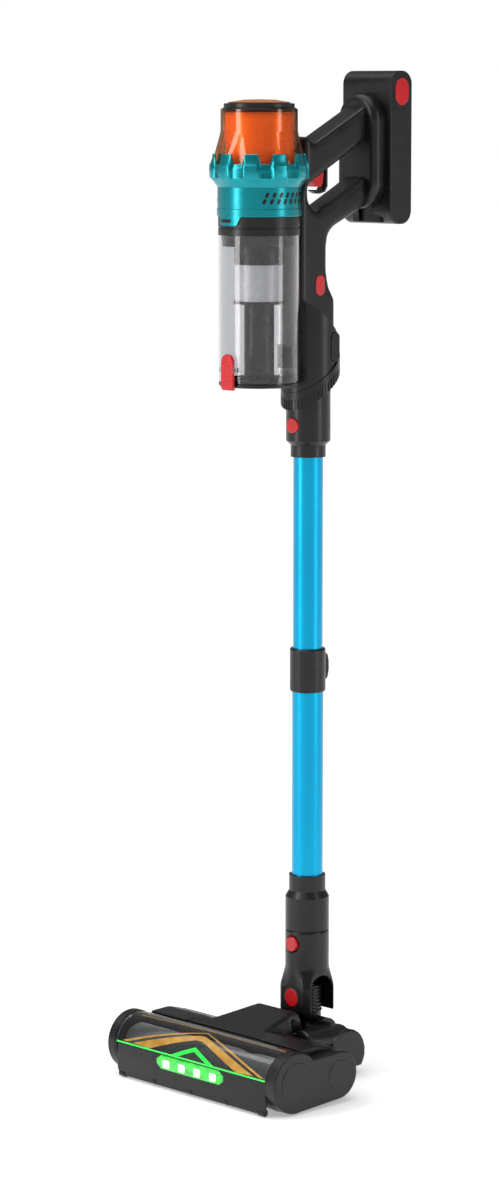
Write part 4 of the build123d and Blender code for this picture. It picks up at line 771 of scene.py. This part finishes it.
for v in crown_form.verts:
    turn, reach = atan2(v.co.y, v.co.x), Vector(v.co.xy).length
    wave = 0.5 + 0.5 * cos(POINTS * turn)
    valley = max(0.0, min(1.0, (wave - 0.42) / 0.34))
    valley = valley * valley * (3 - 2 * valley)
    rise = v.co.z - crown_low.z
    if rise > LUG_FOOT:
        v.co.z -= valley * (rise - LUG_FOOT) * LUG_DROP
    if reach > seat_r + 0.0005 and rise > FLUTE_FOOT:
        cut = min(1.0, (rise - FLUTE_FOOT) / 0.006) * valley * max(0.0, reach - seat_r - 0.0012) * FLUTE_DEPTH
        v.co.xy = Vector(v.co.xy) * (1 - cut / reach)
bmesh.ops.translate(crown_form, verts=crown_form.verts, vec=(0, BIN_Y, 0))
bmesh.ops.recalc_face_normals(crown_form, faces=crown_form.faces)
fit("crown_ring", crown_form, pearl_teal, "hand_unit", stands_for=["crown"], soft_edges=28)

# ---- Filter and its cap ---------------------------------------------------------------------
# The filter sits in an orange cup under a clear cap with an amber cast. Ten facets flare out
# at the cap's foot, and a dark ring and a low orange lens close the top.
amber_clear = clear("amber_clear", (0.97, 0.58, 0.33))
cap_low, cap_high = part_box("filter_cap")
cap_foot_r = (cap_high.x - cap_low.x) / 2
cap_r = cap_foot_r - 0.0067
flare, waist = cap_low.z + 0.0179, cap_low.z + 0.0409
CAP_WALL = 0.002
FACET_DEPTH = 0.0030
cap_form = lathe([(cap_foot_r, cap_low.z), (cap_foot_r, flare), (cap_r + 0.0035, flare + 0.011), (cap_r, waist),
                  (cap_r, cap_high.z), (cap_r - CAP_WALL, cap_high.z), (cap_r - CAP_WALL, waist + 0.0004),
                  (cap_r + 0.0015, flare + 0.0114), (cap_foot_r - CAP_WALL, flare + 0.0004),
                  (cap_foot_r - CAP_WALL, cap_low.z)], steps=120)
for v in cap_form.verts:
    turn = atan2(v.co.y, v.co.x)
    ridge = abs(((turn * POINTS / tau + 0.5) % 1) - 0.5) * 2
    if v.co.z < waist - 0.001:
        fade = 1 if v.co.z < flare + 0.001 else 0.45
        v.co.xy = Vector(v.co.xy) * (1 - FACET_DEPTH * (1 - ridge) * fade / Vector(v.co.xy).length)
bmesh.ops.translate(cap_form, verts=cap_form.verts, vec=(0, BIN_Y, 0))
bmesh.ops.recalc_face_normals(cap_form, faces=cap_form.faces)
fit("faceted_cap", cap_form, amber_clear, "cap", stands_for=["filter_cap"], soft_edges=12)

orange_cup, tree, shader = new_finish("orange_cup", (0.80, 0.30, 0.045), 0.32, metal=0.15, coat=0.3)
tint(tree, shader, cloudy(tree, 0.02, (1, 1, 0.2)), (0.72, 0.20, 0.025), (0.86, 0.31, 0.05))
gloss(tree, shader, cloudy(tree, 0.004), 0.26, 0.38)
core_low, core_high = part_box("filter_core")
cup_r = (core_high.x - core_low.x) / 2
cup = lathe([(cup_r - 0.013, core_low.z), (cup_r, core_low.z), (cup_r, core_high.z - 0.006),
             (cup_r + 0.0006, core_high.z - 0.0055), (cup_r + 0.0006, core_high.z - 0.0035),
             (cup_r, core_high.z - 0.003), (cup_r - 0.0006, core_high.z), (cup_r - 0.013, core_high.z)],
            steps=96, centre=(0, BIN_Y, 0))
fit("filter_cup", cup, orange_cup, "hand_unit", stands_for=["filter_core"])
dress(satin_grey, "cap_ring")
ring_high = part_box("cap_ring")[1]
lens_r = cap_r - 0.0085
top_lens = lathe([(0.0001, ring_high.z - 0.0006), (lens_r * 0.5, ring_high.z - 0.0009), (lens_r, ring_high.z - 0.0032),
                  (lens_r + 0.0006, ring_high.z - 0.0026), (lens_r * 0.5, ring_high.z + 0.0002),
                  (0.0001, ring_high.z + 0.0006)], centre=(0, BIN_Y, 0))
bmesh.ops.holes_fill(top_lens, edges=[e for e in top_lens.edges if e.is_boundary])
fit("top_lens", top_lens, orange_cup, "cap")

# ---- Battery --------------------------------------------------------------------------------
# Eight cells in sleeves lie crosswise in the case, which slides down on the dock's rail.
# The case is moulded in the same satin grey, with a soft bevel all round.
cell_sleeve = moulded("cell_sleeve", (0.03, 0.16, 0.10), 0.35)
dress(cell_sleeve, "battery_cells")

# ---- Grip frame -----------------------------------------------------------------------------
# Spine, upper grip and lower bar, moulded as two half shells that meet on the middle plane.
# Every edge is rolled over for the hand; a thin line shows where the halves join.
UNIT_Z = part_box("dust_bin")[0].z


def slab(form, outline, low, high):
    """Extrude an outline of (y, z), counted from the wand and the bin's foot in mm, across the machine."""
    face = form.faces.new([form.verts.new((low, WAND_Y + y / 1000, UNIT_Z + z / 1000)) for y, z in outline])
    grown(form, [face], (high - low, 0, 0))


grip_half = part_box("frame_right")[1].x
upper_grip = [(-27.5, 90), (-27.5, 211), (-21.2, 225), (-21.2, 271), (-17, 275), (-8, 264.5), (77, 307.4),
              (77, 269.5)]
trigger_slot = [(21.5, 239.9), (21.5, 247), (-6.5, 247), (-6.5, 225)]
lower_bar = [(-16.5, 219.7), (-16.5, 205), (-9, 193), (0, 190.5), (77, 230), (77, 193), (73, 194.6), (24, 173.5),
             (15.5, 165), (13.2, 154), (13.2, 124), (16.6, 108), (26.1, 93), (26.1, 44)]
frame_outline, slot_outline = upper_grip + lower_bar, upper_grip + trigger_slot + lower_bar
TRIGGER_SLOT = 0.0075
SEAM = 0.00012
frame_form = bmesh.new()
slab(frame_form, frame_outline, TRIGGER_SLOT, grip_half)
slab(frame_form, frame_outline, -grip_half, -TRIGGER_SLOT)
slab(frame_form, slot_outline, -TRIGGER_SLOT - 0.001, TRIGGER_SLOT + 0.001)
frame_form = soften(frame_form, 0.0016, 26)
for side, hand in ((1, "right"), (-1, "left")):
    half = frame_form.copy()
    sliced(half, (side * SEAM, 0, 0), (-side, 0, 0), clear_outer=True)
    bmesh.ops.holes_fill(half, edges=[e for e in half.edges if e.is_boundary])
    fit(f"grip_half_{hand}", half, satin_grey, "hand_unit", stands_for=[f"frame_{hand}"],
        soft_edges=50)
frame_form.free()

# ---- Trigger guard --------------------------------------------------------------------------
# A thin bow moulded below the trigger keeps the finger from catching on it.
guard_form = bmesh.new()
slab(guard_form, [(20.8, 246), (23.8, 246), (23.8, 218), (19.8, 211.8), (11.3, 209.8), (4.2, 213), (4.6, 214.4),
                  (12, 212.4), (17.5, 214), (20.8, 219)], -0.006, 0.006)
bmesh.ops.recalc_face_normals(guard_form, faces=guard_form.faces)
rounded(guard_form, guard_form.edges[:], 0.0005, 2)
fit("trigger_guard", guard_form, satin_grey, "hand_unit")
